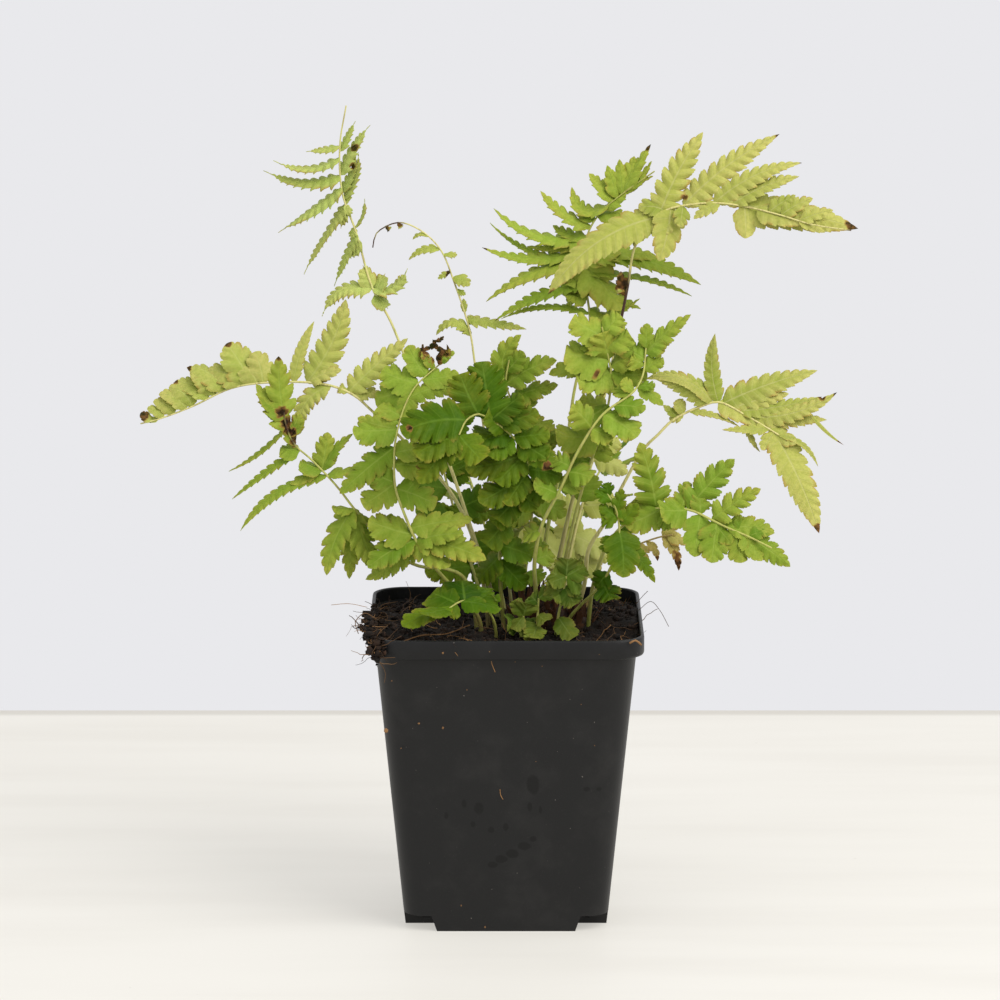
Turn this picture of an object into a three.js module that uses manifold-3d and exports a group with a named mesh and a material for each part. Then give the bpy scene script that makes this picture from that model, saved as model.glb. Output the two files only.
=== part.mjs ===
// Potted fern: a square nursery pot of peat with a clump of arching fronds.
// Millimetres, +Z up. The origin is the middle of the pot's foot, and the pot's sides face X and Y.

import * as THREE from 'three';
import { mergeVertices } from 'three/addons/utils/BufferGeometryUtils.js';
import Module from 'manifold-3d';

const wasm = await Module();
wasm.setup();

// Pot, a 9 cm square nursery pot
const POT_HEIGHT = 100;
const POT_RIM_WIDTH = 90;
const POT_RIM_HEIGHT = 6.3;
const POT_SHOULDER_WIDTH = 85;
const POT_BASE_WIDTH = 66.5;
const POT_WALL = 1.2;
const POT_CORNER_RADIUS = 10;
const CORNER_STEPS = 3;
const FOOT_RISE = 5.2;
const FOOT_WIDTH_TOP = 49;
const FOOT_WIDTH_BOTTOM = 45.5;
const DRAIN_RADIUS = 3;
const DRAIN_SIDES = 6;
const DRAIN_OFFSET = 26;

// Peat and crown
const CLEARANCE = 0.3;
const SOIL_LEVEL = 95;
const SOIL_STEPS = 6;
const STALK_FOOT = 86;
const CROWN_LUMPS = [
  [7, -2, 94, 8],
  [16, -3, 95.5, 7.5],
  [12, 6, 96, 7],
  [24, -4, 94, 5.5],
];

// Fronds
const BLADE_THICKNESS = 0.7;
const STALK_SIDES = 3;
const STALK_STEP = 12;
const LOBE_PITCH = 10;
const MOST_LOBES = 3;
const LOBE_CUT = 0.32;
const NECK_HALF_WIDTH = 0.4;
const NECK_LENGTH = 1.6;
const TIP_HALF_WIDTH = 0.2;
const KEEP_CLEAR = 0.35;
const SWINGS = [0, 3, -3, 6, -6, 10, -10, 14, -14, 19, -19];

// The fern was measured from one side. A stated place is [across, up, back]: where the point shows
// on the upright plane through the pot's middle, seen from the eye, and how far behind that plane
// it really lies. Placing it along that sight line gives its true position.
const EYE = new THREE.Vector3(-2, -1770, 466);

function place([across, up, back]) {
  const stretch = 1 - back / EYE.y;
  return new THREE.Vector3(
    EYE.x + (across - EYE.x) * stretch,
    back,
    EYE.z + (up - EYE.z) * stretch,
  );
}

function shownAt(point) {
  const stretch = 1 - point.y / EYE.y;
  return new THREE.Vector2(
    EYE.x + (point.x - EYE.x) / stretch,
    EYE.z + (point.z - EYE.z) / stretch,
  );
}

// Each frond has its stalk as places from the soil to the tip, the stalk's radius at both ends, the
// way its upper surfaces face, how pointed its leaflets are, and its leaflets. A leaflet row is
// [root across, root up, tip across, tip up, tip behind its root, half width, bow to its left].
const FRONDS = [
  {
    name: 'frond_tall_left',
    colour: 0x8a9a33,
    stalk: [
      [-1, STALK_FOOT, 9], [-3, 100, 10], [-12, 130, 14], [-24, 165, 18], [-32, 183, 20],
      [-38, 198, 21], [-43.9, 209, 21], [-49, 227, 21], [-53.6, 240.5, 21], [-54.3, 256, 20],
      [-52.2, 269, 18],
    ],
    radii: [1, 0.4],
    face: [0, -0.4, 0.92],
    point: 1.6,
    leaflets: [
      [-55.7, 253, -76, 251.1, -3, 3.4, 3.2],
      [-55.5, 247.1, -79.3, 247.8, 0, 3.6, 3.5],
      [-54.2, 242.4, -74.7, 227.3, 2, 3.8, 0.8],
      [-52.9, 235.7, -66.4, 213.5, 3, 3, 0],
      [-50.6, 225.6, -56.5, 209.5, 3, 2.2, 0],
      [-44, 209, -60.5, 199.5, -2, 3.4, -4],
      [-53.8, 246.3, -44.4, 262.7, 0, 3, 0.8],
      [-51.6, 239, -48.3, 253.8, 2, 2.2, -1.5],
      [-43, 208.5, -32.4, 215.5, 0, 3.8, -3.4],
    ],
  },
  {
    name: 'frond_thin_arching',
    colour: 0x8f9b3d,
    stalk: [
      [2, STALK_FOOT, 14], [2, 100, 15], [-2, 130, 20], [-7, 160, 26], [-10.3, 184, 30],
      [-12, 195, 31], [-16.9, 210.5, 32], [-21.6, 221.8, 32], [-28.3, 228.2, 31],
      [-35.4, 230.6, 30], [-42.5, 227, 28], [-43.7, 222.3, 27],
    ],
    radii: [0.8, 0.35],
    face: [0, -0.6, 0.8],
    point: 2,
    leaflets: [
      [-13, 194, -23, 193.3, 0, 3.2, -3.5],
      [-12.5, 199.5, 6.7, 195.3, -3, 3, 0.5],
    ],
  },
  {
    name: 'frond_long_left',
    colour: 0x9aa046,
    stalk: [
      [-6, STALK_FOOT, 2], [-6, 98, 1], [-10, 122, -2], [-16, 137, -3], [-23, 147, -3],
      [-33.5, 158, -3], [-43.6, 167.5, -3], [-50.3, 173.4, -3], [-60, 177, -2], [-80, 177.4, 0],
      [-90.8, 175.5, 1], [-103.5, 169.5, 0], [-114.6, 165.3, -2], [-120.5, 163.8, -4],
    ],
    radii: [1, 0.4],
    face: [0.1, -0.75, 0.65],
    point: 2.4,
    leaflets: [
      [-105.8, 168.5, -114.4, 173.5, 0, 3.6, -1.5],
      [-98.5, 171.5, -109.1, 177.9, 2, 4.2, -1.7],
      [-91.9, 174.2, -105.1, 182.6, 3, 4.8, -1.8],
      [-84.6, 176.2, -91.9, 190.6, 3, 6.8, -0.5],
      [-70, 177.6, -63, 198, 4, 2.4, 1],
      [-65.8, 177.7, -52.6, 205.3, 2, 5.8, -2],
      [-57, 175.8, -67.8, 160.3, -4, 3.9, -4],
      [-52, 174.3, -32.3, 192.3, 4, 5, 0.5],
      [-80.3, 176.9, -82.6, 187.9, 3, 5.2, -0.5],
    ],
  },
  {
    name: 'frond_hanging_left',
    colour: 0x7f9d33,
    stalk: [
      [-10, STALK_FOOT, -4], [-10, 98, -5], [-14, 112, -9], [-20, 115, -12], [-29, 116, -14],
      [-38, 121, -16], [-46, 130, -18], [-50.4, 135.5, -19], [-56.5, 143.5, -19],
      [-64.8, 152.3, -18], [-69.5, 156.5, -18], [-72.5, 163, -18], [-73.5, 170, -17],
    ],
    radii: [1, 0.45],
    face: [0, -0.5, 0.86],
    point: 2.2,
    leaflets: [
      [-72.4, 161.7, -82.3, 177, 2, 4.6, -0.5],
      [-72.1, 165.1, -74.8, 186.3, 0, 5.2, 0.6],
      [-73.7, 161.7, -91.6, 147.9, 3, 1.8, 1.2],
      [-69.4, 155, -90.6, 138.5, 0, 2, -0.6],
      [-59.5, 147.3, -87.9, 127.8, -4, 2.8, -4],
      [-60.5, 148.2, -58.8, 161, 2, 4.4, 0],
      [-59.5, 147, -48.5, 148, 0, 3, 0.5],
      [-50.6, 136, -59.5, 112.8, -5, 5.2, -1.5],
      [-50, 135, -52, 111.5, 2, 4.6, 0],
      [-49.6, 134.5, -42.8, 115.5, -3, 6, -1],
    ],
  },
  {
    name: 'frond_centre_left',
    colour: 0x7d9f36,
    stalk: [
      [-8, STALK_FOOT, -8], [-9, 98, -9], [-17.5, 108.5, -15], [-24, 116, -20], [-29, 123, -24],
      [-34, 134.5, -24], [-36.5, 142, -22], [-37, 150, -20], [-36.5, 158, -18], [-34, 168, -15],
      [-30, 176, -12], [-22, 183.5, -8],
    ],
    radii: [1, 0.4],
    face: [0, -0.78, 0.62],
    point: 2.6,
    leaflets: [
      [-29.5, 124, -6.5, 118, -8, 5.7, 1],
      [-30.5, 127, -45.5, 131.5, -2, 6.4, 0.5],
      [-30.2, 125.5, -45.8, 115.3, -5, 5.6, -1],
      [-31, 128, -11, 131.8, 4, 4.8, 0.5],
      [-35.6, 162.5, -50.6, 161.4, -3, 6.2, 0.5],
      [-37, 155, -55, 140.3, -3, 5.2, -0.5],
      [-36.4, 145, -47.5, 136.5, -3, 6, 0.5],
      [-37, 150, -24.5, 147.5, 3, 6, 1],
      [-36.4, 142, -23, 136.5, 3, 6.5, 0.5],
      [-31, 174.5, -43.3, 172, 5, 6.4, -0.5],
      [-29, 177.5, -41, 181.5, 3, 6.2, 0.5],
      [-26, 180, -32.2, 190, 3, 4.4, 0.5],
      [-28, 178, -15.6, 180.8, 2, 4.4, -0.6],
      [-32, 171, -15, 174.5, 3, 3.8, 2.2],
      [-29.1, 123.4, -46.6, 111.4, 5, 4.6, 0],
      [-35.7, 165.1, -42.6, 169.1, 3, 5, 0],
      [-36.4, 153.9, -25.7, 156.1, 5, 5.2, 0],
      [-29.8, 124.2, -18.5, 115.8, -7, 4.8, -0.5],
    ],
  },
  {
    name: 'frond_centre_dark',
    colour: 0x4f7f1d,
    stalk: [
      [0, STALK_FOOT, -5], [-1, 98, -6], [-2, 121, -12], [0, 130, -14], [4, 140, -16],
      [7, 147, -18], [5.5, 155, -21], [0, 161.5, -24], [-5, 165, -26], [-9, 167, -28],
      [-13, 165, -31], [-15.5, 160, -34],
    ],
    radii: [1, 0.5],
    face: [0, -0.78, 0.62],
    point: 3,
    leaflets: [
      [-13.5, 164.5, -34.5, 160.5, -3, 8.6, -1.5],
      [-15.4, 160.5, -30, 153.5, -4, 6.6, -0.5],
      [-15.4, 160.3, -8, 151.5, -5, 5.8, 0],
      [-8.5, 166.8, -15, 180.5, 4, 7.2, 0.5],
      [-5, 165.8, -7.9, 184.6, 6, 8.4, 0],
      [-1, 162, 4.5, 171, 3, 6, 0],
      [5.5, 154, -13.5, 149, -5, 7.6, 1],
      [7, 147.5, -9, 137.5, -7, 7.9, 0.5],
      [4, 157.5, 15.5, 150.5, -3, 5.1, 0.5],
      [6.9, 148, 18.5, 145.5, -2, 4.5, 0.5],
      [0.2, 158.4, -10.8, 160.6, -2, 6.2, 0],
      [-1, 119.4, -9.3, 111.3, 4, 5.2, 0],
      [-1.7, 117.4, 6.6, 108.6, 2, 4.8, 0],
      [-0.3, 123.1, 8.9, 119.4, 1, 5.2, 0],
      [1.3, 131.5, -6.6, 123.1, -3, 5.6, 0],
    ],
  },
  {
    name: 'frond_centre_top',
    colour: 0x6d9a2e,
    stalk: [
      [5, STALK_FOOT, 5], [5, 98, 5], [7, 120, 4], [9, 140, 3], [8.5, 155, 1], [4, 167, -1],
      [0, 177, -3], [1, 185, -4],
    ],
    radii: [0.9, 0.45],
    face: [0, -0.7, 0.7],
    point: 2.2,
    leaflets: [
      [0, 178, 5, 193.5, 1, 5, 3.4],
      [0.2, 177, 16.7, 185, -3, 5.4, 1],
      [2, 172, 17.2, 176.8, -1, 4.6, 0.5],
      [6, 163, 16, 162, -5, 6, 0.5],
      [8, 157, 21.5, 161, -3, 4.9, 0.5],
      [9, 140, 20, 133, -1, 6.1, 0],
      [8.7, 136, -2.5, 129.5, 3, 6.4, 0],
    ],
  },
  {
    name: 'frond_upper_right',
    colour: 0x5f9431,
    stalk: [
      [16, STALK_FOOT, 4], [16.5, 98, 4], [20, 120, 1], [26, 145, -2], [31, 160, -5],
      [34, 172, -8], [34.5, 181, -10], [33, 189, -12], [31.5, 196, -13],
    ],
    radii: [1, 0.5],
    face: [0, -0.75, 0.66],
    point: 2.6,
    leaflets: [
      [34, 184.5, 19.4, 187.5, -2, 7, 0.5],
      [34.5, 181, 23.5, 178.5, -4, 6.2, 0.5],
      [33, 189.5, 40.5, 194, 0, 5.2, 0],
      [32.4, 192, 21.5, 198.5, 1, 5.9, 0],
      [34.5, 180.5, 46.5, 180.5, -2, 4.9, -0.8],
      [33.5, 171, 25.5, 165, -5, 6, 0.5],
      [31, 160.5, 16.5, 160, -6, 6.6, 0.5],
      [24, 138, 28.5, 147, 3, 5.2, 0],
      [34.4, 181.9, 14, 180.2, 4, 4.6, -2],
    ],
  },
  {
    name: 'frond_right_middle',
    colour: 0x5c8f26,
    stalk: [
      [10, STALK_FOOT, -4], [10.3, 100, -7], [9.5, 118, -13], [12, 130, -17], [18, 142, -20],
      [24, 155, -21], [32, 167, -20], [42, 174.5, -18], [45, 180, -15], [46, 189, -12],
    ],
    radii: [1.1, 0.5],
    face: [0, -0.75, 0.66],
    point: 2.2,
    leaflets: [
      [43, 175.8, 51.8, 169.8, 0, 3.1, 0.6],
      [45.2, 181.5, 52, 184.8, 0, 4.2, 0.5],
      [45.6, 184.5, 38.8, 189.7, 0, 5.2, 0],
      [46, 188, 60.7, 200.2, 0, 4.4, 0.5],
      [32.5, 167.3, 43.5, 159.5, -3, 6.8, 0.5],
      [36, 170.4, 46, 168.5, -2, 4.8, 0.5],
      [28.5, 162.5, 21.5, 169.5, -2, 5.6, -0.5],
      [20.5, 148, 28.2, 145.5, -3, 5.4, 0.5],
    ],
  },
  {
    name: 'frond_top_green',
    colour: 0x7f9a22,
    stalk: [
      [8, STALK_FOOT, 13], [9, 98, 15], [14, 130, 20], [20, 158, 24], [22.5, 175, 27],
      [25, 186, 28], [27.5, 197, 29], [26, 212, 31], [26.5, 226, 32], [31, 234, 32], [38, 240, 31],
      [48.5, 247.5, 29],
    ],
    radii: [1.1, 0.4],
    face: [-0.1, -0.48, 0.87],
    point: 1.7,
    leaflets: [
      [37, 240, 47.2, 256.4, 2, 3.4, 0.4],
      [34.4, 239, 27.1, 246.8, 4, 3.4, 0],
      [33.7, 237.7, 21.5, 242.4, 4, 3.8, 4.8],
      [24.4, 226.9, -4, 235.3, 2, 4.4, 3.6],
      [25.1, 222.6, -7.8, 222.4, 0, 3.6, 3.6],
      [26.2, 218, -6.6, 204.5, -2, 4.4, -1.8],
      [26.2, 210, -3.6, 198.2, -4, 3.2, -2.2],
      [27.3, 201, -1.7, 198.7, 4, 1.8, -3],
      [26.2, 220, 64, 210, 3, 5, 3],
      [26, 214, 61, 206.3, 6, 3, 1],
      [28.6, 216.4, 37.7, 201.4, -4, 7.4, 0.5],
      [27.3, 199, 43.8, 205.5, 2, 3.4, -0.8],
    ],
  },
  {
    name: 'frond_top_yellow',
    colour: 0xb7b653,
    stalk: [
      [13, STALK_FOOT, 9], [14, 98, 10], [20, 130, 11], [28, 160, 12], [32, 172, 13],
      [34.5, 182, 13], [37.5, 197, 14], [40, 210, 14], [42, 222, 14], [46, 229.5, 13],
      [52, 234.5, 12], [60, 236.5, 11], [70, 237, 9], [80, 235.5, 7], [90, 233, 4], [100, 230, 0],
      [113, 228, -4],
    ],
    radii: [1.1, 0.4],
    face: [0.15, -0.78, 0.6],
    point: 2.1,
    leaflets: [
      [51, 234, 64.3, 260.4, 4, 6, 1],
      [58, 236.3, 89.2, 259.7, 3, 5.6, 1.5],
      [68, 237, 96.6, 250.3, 2, 4.4, 2],
      [74.5, 236.3, 95.8, 245.8, 2, 3.8, 1],
      [75, 236, 115.3, 228.6, 1, 7, 1.2],
      [53, 234.8, 50, 217.8, -3, 5.8, 0.6],
      [77.6, 236.4, 78.3, 225.3, -3, 4.2, 0.3],
      [49.5, 232.8, 13.8, 206.8, -6, 6.8, -3.6],
    ],
  },
  {
    name: 'frond_right_yellow',
    colour: 0xa5ab47,
    stalk: [
      [22, STALK_FOOT, 2], [23, 98, 1], [26, 110, -1], [27.5, 122, -3], [33, 131, -5],
      [38, 142, -6], [46, 156, -6], [50, 160, -6], [55, 165, -5], [64, 169.5, -4], [70, 171, -4],
      [80, 166, -6], [90, 160, -9],
    ],
    radii: [1.1, 0.5],
    face: [0.1, -0.82, 0.56],
    point: 2.1,
    leaflets: [
      [70, 171, 68.7, 193.9, 2, 3.4, 1.6],
      [72, 170.2, 102.5, 181.6, 3, 5.6, 1],
      [77, 167.7, 104, 172.8, 1, 3.4, -1.2],
      [88.5, 161, 103.6, 127, -9, 6.4, 1.2],
      [86, 162.5, 71.3, 161.8, -3, 2.3, 0],
      [68.4, 171.1, 47.6, 179.9, -3, 4.8, -2],
      [79, 168.1, 105.7, 165.1, 0, 5, 0.4],
      [69.4, 170.5, 83.9, 163.4, -2, 4.6, 0],
    ],
  },
  {
    name: 'frond_right_front',
    colour: 0x6a8f22,
    stalk: [
      [27, STALK_FOOT, -6], [27.5, 98, -8], [29, 110, -11], [33, 122, -15], [38, 129, -18],
      [46, 134.5, -21], [60, 135, -24], [68, 131.5, -27], [73, 129, -29], [80, 126, -31],
      [88, 122, -33],
    ],
    radii: [1, 0.5],
    face: [0.15, -0.86, 0.48],
    point: 2.2,
    leaflets: [
      [60, 135, 75.5, 152, 2, 6, 0.5],
      [68, 131.7, 84.2, 142, 0, 5, 0.5],
      [73, 129.1, 88.9, 127.1, 0, 4.8, 1],
      [78, 126.8, 94.2, 115.7, 0, 4.8, 0.6],
      [64.8, 133.5, 62.4, 119, -5, 5.4, 0],
      [69.4, 131.1, 68.1, 117, -6, 6, 0],
      [74, 128.8, 78, 117, -4, 5.4, 0.4],
      [49.6, 135.2, 44.1, 157.6, 1, 6.8, -0.5],
      [60, 135, 51, 135, -5, 6.4, 0.5],
      [51, 135, 39.3, 129.5, -4, 6.2, 0.3],
    ],
  },
  {
    name: 'frond_right_low',
    colour: 0x5d8a1f,
    stalk: [
      [20, STALK_FOOT, -12], [20.5, 97, -14], [25, 103, -18], [31, 109, -22], [36, 119, -27],
      [37.5, 128, -28], [36, 136, -28], [33, 141, -27],
    ],
    radii: [0.9, 0.5],
    face: [0.05, -0.85, 0.5],
    point: 2.2,
    leaflets: [
      [37.6, 129.5, 43.8, 136.8, 0, 3.5, 0],
      [37.5, 129, 38.8, 112, -5, 6.6, 0.6],
      [37.3, 125, 49.4, 110.2, -2, 3.5, 1.4],
      [31.5, 110, 34.8, 104.6, -4, 5.4, 0],
    ],
  },
  {
    name: 'frond_withered',
    colour: 0x8d7a3a,
    stalk: [
      [24, STALK_FOOT, 9], [24.5, 98, 8], [32, 111, 5], [41, 121.5, 2], [50, 125.5, -1],
      [55, 126.5, -3],
    ],
    radii: [0.8, 0.45],
    face: [0, -0.8, 0.6],
    point: 2,
    leaflets: [
      [52, 126, 57.2, 114.3, -3, 2.5, 1.6],
      [45, 123.5, 45.5, 117, 1, 3.4, 0],
      [54, 126.4, 61.5, 123.8, 0, 3, 0],
      [51, 125.8, 56.5, 131, 1, 3.4, 0],
    ],
  },
  {
    name: 'frond_front_low',
    colour: 0x6fa336,
    stalk: [
      [-3, STALK_FOOT, -15], [-4, 97, -19], [-9, 103.5, -27], [-15, 104, -33], [-19, 101.5, -36],
    ],
    radii: [0.8, 0.5],
    face: [0, -0.35, 0.94],
    point: 3.4,
    leaflets: [
      [-18, 102.3, -34.5, 95.6, -5, 5.5, -0.5],
      [-18.5, 101.8, -27, 99.5, -9, 4.8, 0],
      [-14.6, 103.6, -2, 100.9, -6, 5.4, 0.5],
      [-16.5, 103.9, -24.5, 106.9, 5, 6.6, 0],
      [-13.9, 104.3, -14.6, 111.3, 6, 7.4, 0],
      [-10.8, 103.7, -8.6, 109.1, 5, 5.6, 0],
    ],
  },
  {
    name: 'frond_young_left',
    colour: 0x5f9a34,
    stalk: [[5, STALK_FOOT, -17], [5, 94, -19], [5.8, 99, -22]],
    radii: [0.7, 0.5],
    face: [0, -0.7, 0.7],
    point: 3.6,
    leaflets: [
      [5.3, 96.5, 0.6, 97.5, -3, 4.2, 0],
      [5.8, 98.8, 7, 103.4, -1, 4.2, 0],
      [5.6, 97.2, 9.2, 91.1, -3, 3.4, 0],
    ],
  },
  {
    name: 'frond_young_middle',
    colour: 0x8fa74a,
    stalk: [[10, STALK_FOOT, -19], [10.3, 96, -21], [10.8, 105, -23]],
    radii: [0.7, 0.5],
    face: [0, -0.8, 0.6],
    point: 3.6,
    leaflets: [
      [10.8, 104.5, 13.8, 107.6, 0, 3.4, 0],
      [10.2, 96, 9, 91.6, -5, 4, 0],
    ],
  },
  {
    name: 'frond_young_right',
    colour: 0x79a04a,
    stalk: [[16, STALK_FOOT, -17], [17, 97, -20], [19, 107, -23], [20, 112.5, -24]],
    radii: [0.8, 0.5],
    face: [0, -0.8, 0.6],
    point: 3.6,
    leaflets: [
      [19.6, 111, 15.2, 114.2, 0, 5.2, 0],
      [19.8, 111.8, 25.4, 111.3, -1, 5.4, 0],
      [20, 112.4, 20.6, 118.4, 1, 4.8, 0],
      [17.3, 98.5, 22.2, 91.6, -5, 3.8, 0],
      [19.8, 112, 26.1, 116, 0, 4.6, 0],
      [19.5, 109.6, 22.5, 103.6, -2, 4.2, 0],
    ],
  },
  {
    name: 'frond_back_pale',
    colour: 0xb4bd62,
    stalk: [
      [19, STALK_FOOT, 14], [19, 98, 16], [21, 118, 22], [26, 140, 30], [29, 152, 34],
      [33, 158, 36],
    ],
    radii: [0.9, 0.5],
    face: [0, -0.75, 0.66],
    point: 2.8,
    leaflets: [
      [20.8, 117, 4.5, 127.5, 2, 6.8, 0],
      [22.5, 126, 34, 121, -3, 5.8, 0],
      [23.5, 131, 13, 140, 2, 5.5, 0],
      [21.8, 121.4, 30.4, 113, -1, 5.2, 0],
    ],
  },
  {
    name: 'frond_back_left',
    colour: 0x3f6a1d,
    stalk: [
      [-5, STALK_FOOT, 13], [-6, 98, 15], [-12, 118, 22], [-18, 138, 30], [-21, 152, 36],
      [-20, 164, 40],
    ],
    radii: [0.9, 0.5],
    face: [0, -0.75, 0.66],
    point: 2.8,
    leaflets: [
      [-11, 115, -27, 114, -2, 6, 0],
      [-13, 121, 0, 124, -3, 6.2, 0],
      [-16, 131, -30, 135, -3, 6.2, 0],
      [-17, 134, -6, 140, -3, 6.2, 0],
      [-19, 143, -32, 144, -3, 6, 0],
      [-20, 147, -9, 152, -3, 5.7, 0],
      [-20.5, 155, -31, 168, 2, 5.5, 0],
      [-20.2, 160, -12, 170, 2, 5.5, 0],
    ],
  },
  {
    name: 'frond_far_left',
    colour: 0x55862a,
    stalk: [
      [1, STALK_FOOT, 21], [0, 98, 25], [-4, 118, 42], [-9, 136, 58], [-14, 150, 74],
      [-20, 158, 90],
    ],
    radii: [0.9, 0.5],
    face: [0, 0.5, 0.86],
    point: 2.6,
    leaflets: [
      [-5, 122, -22, 126, 5, 6.2, 0],
      [-6, 126, 10, 131, 5, 6.2, 0],
      [-9, 136, -25, 143, 6, 6, 0],
      [-10, 139, 4, 146, 6, 6, 0],
      [-14, 149, -28, 158, 8, 5.5, 0],
      [-15, 151, -3, 160, 8, 5.5, 0],
    ],
  },
  {
    name: 'frond_far_right',
    colour: 0x6a9632,
    stalk: [
      [13, STALK_FOOT, 20], [14, 98, 24], [20, 118, 40], [26, 136, 54], [31, 148, 68],
      [38, 156, 82],
    ],
    radii: [0.9, 0.5],
    face: [0, 0.5, 0.86],
    point: 2.6,
    leaflets: [
      [21, 121, 36, 122, 5, 6.2, 0],
      [22, 124, 8, 132, 5, 6.2, 0],
      [26, 136, 42, 140, 6, 6, 0],
      [27, 139, 13, 148, 6, 6, 0],
      [31, 148, 45, 154, 8, 5.5, 0],
      [32, 149.5, 21, 161, 8, 5.5, 0],
    ],
  },
];

// Solids

function toSolid(geometry) {
  geometry.deleteAttribute('normal');
  geometry.deleteAttribute('uv');
  const merged = mergeVertices(geometry, 1e-5);
  return new wasm.Manifold(new wasm.Mesh({
    numProp: 3,
    vertProperties: Float32Array.from(merged.attributes.position.array),
    triVerts: Uint32Array.from(merged.index.array),
  }));
}

function toGeometry(solid) {
  const mesh = solid.getMesh();
  const geometry = new THREE.BufferGeometry();
  geometry.setAttribute('position', new THREE.BufferAttribute(mesh.vertProperties, 3));
  geometry.setIndex(new THREE.BufferAttribute(mesh.triVerts, 1));
  geometry.computeVertexNormals();
  return geometry;
}

function moveVertices(geometry, move) {
  const positions = geometry.attributes.position;
  const point = new THREE.Vector3();
  for (let i = 0; i < positions.count; i += 1) {
    point.fromBufferAttribute(positions, i);
    move(point);
    positions.setXYZ(i, point.x, point.y, point.z);
  }
  return geometry;
}

// The body that remains once loose scraps and sealed hollows are left out.
function mainBody(solid) {
  const bodies = solid.decompose();
  bodies.sort((one, other) => other.volume() - one.volume());
  return bodies[0];
}

// Pot

function roundedSquare(halfWidth, radius) {
  const shape = new THREE.Shape();
  const inner = halfWidth - radius;
  for (let corner = 0; corner < 4; corner += 1) {
    const start = corner * Math.PI / 2;
    const centreX = inner * (corner === 0 || corner === 3 ? 1 : -1);
    const centreY = inner * (corner < 2 ? 1 : -1);
    shape.absarc(centreX, centreY, radius, start, start + Math.PI / 2, false);
  }
  shape.closePath();
  return shape;
}

// A square column with rounded corners whose half width runs evenly from bottom to top.
function taperedColumn(bottomHalf, topHalf, bottom, top, radius = POT_CORNER_RADIUS) {
  const geometry = new THREE.ExtrudeGeometry(roundedSquare(topHalf, radius), {
    depth: top - bottom,
    bevelEnabled: false,
    curveSegments: CORNER_STEPS,
  });
  moveVertices(geometry, (point) => {
    const share = point.z / (top - bottom);
    const scale = THREE.MathUtils.lerp(bottomHalf / topHalf, 1, share);
    point.x *= scale;
    point.y *= scale;
    point.z += bottom;
  });
  return toSolid(geometry);
}

// One bar of the cross-shaped foot, running from side to side along X or Y.
function footBar(alongX, reach, bottomWidth, topWidth, bottom, top) {
  const geometry = new THREE.BoxGeometry(1, 1, 1);
  moveVertices(geometry, (point) => {
    const upper = point.z > 0;
    const long = 2 * potHalfWidth(upper ? top : bottom, reach);
    const wide = upper ? topWidth : bottomWidth;
    point.x *= alongX ? long : wide;
    point.y *= alongX ? wide : long;
    point.z = upper ? top : bottom;
  });
  return toSolid(geometry);
}

// Half the pot's outer width at a height, less an inset.
function potHalfWidth(height, inset = 0) {
  const share = height / (POT_HEIGHT - POT_RIM_HEIGHT);
  return THREE.MathUtils.lerp(POT_BASE_WIDTH, POT_SHOULDER_WIDTH, share) / 2 - inset;
}

// The outside of the pot, or with an inset the space inside it.
function potForm(inset) {
  const shoulder = POT_HEIGHT - POT_RIM_HEIGHT + inset;
  const floor = FOOT_RISE + inset;
  const walls = taperedColumn(
    potHalfWidth(floor, inset), potHalfWidth(shoulder, inset), floor, shoulder,
  );
  const rimHalf = POT_RIM_WIDTH / 2 - inset;
  const mouth = POT_HEIGHT + (inset > 0 ? 1 : 0);
  const rim = taperedColumn(rimHalf, rimHalf, shoulder, mouth);
  const bars = [true, false].map((alongX) => footBar(
    alongX, inset, FOOT_WIDTH_BOTTOM - 2 * inset, FOOT_WIDTH_TOP - 2 * inset, inset, floor,
  ));
  return wasm.Manifold.union([walls, rim, ...bars]);
}

function buildPot() {
  let pot = potForm(0).subtract(potForm(POT_WALL));
  for (const side of [-1, 1]) {
    for (const depth of [-1, 1]) {
      const drain = new THREE.CylinderGeometry(DRAIN_RADIUS, DRAIN_RADIUS, 4, DRAIN_SIDES);
      drain.rotateX(Math.PI / 2);
      drain.translate(side * DRAIN_OFFSET, depth * DRAIN_OFFSET, FOOT_RISE + POT_WALL / 2);
      pot = pot.subtract(toSolid(drain));
    }
  }
  return mainBody(pot);
}

// Peat

// Moves a point of the square -1..1 to the same place in a square with rounded corners.
function toRounded(point, halfWidth, radius) {
  const reach = Math.max(Math.abs(point.x), Math.abs(point.y));
  if (reach === 0) return;
  const core = halfWidth - radius;
  let x = Math.abs(point.x) / reach * halfWidth;
  let y = Math.abs(point.y) / reach * halfWidth;
  if (x > core && y > core) {
    const past = Math.hypot(x - core, y - core);
    x = core + (x - core) * radius / past;
    y = core + (y - core) * radius / past;
  }
  point.x = Math.sign(point.x) * x * reach;
  point.y = Math.sign(point.y) * y * reach;
}

function soilHeight(x, y) {
  const ripple = 0.7 * Math.sin(0.21 * x + 0.6) * Math.cos(0.17 * y);
  const cross = 0.5 * Math.sin(0.33 * y + 0.11 * x);
  const leftHeap = 4.2 * Math.exp(-((x + 40) ** 2 + (y + 22) ** 2) / 260);
  const rightHeap = 4.5 * Math.exp(-((x - 39) ** 2 + (y - 6) ** 2) / 330);
  return SOIL_LEVEL + ripple + cross + leftHeap + rightHeap;
}

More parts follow.
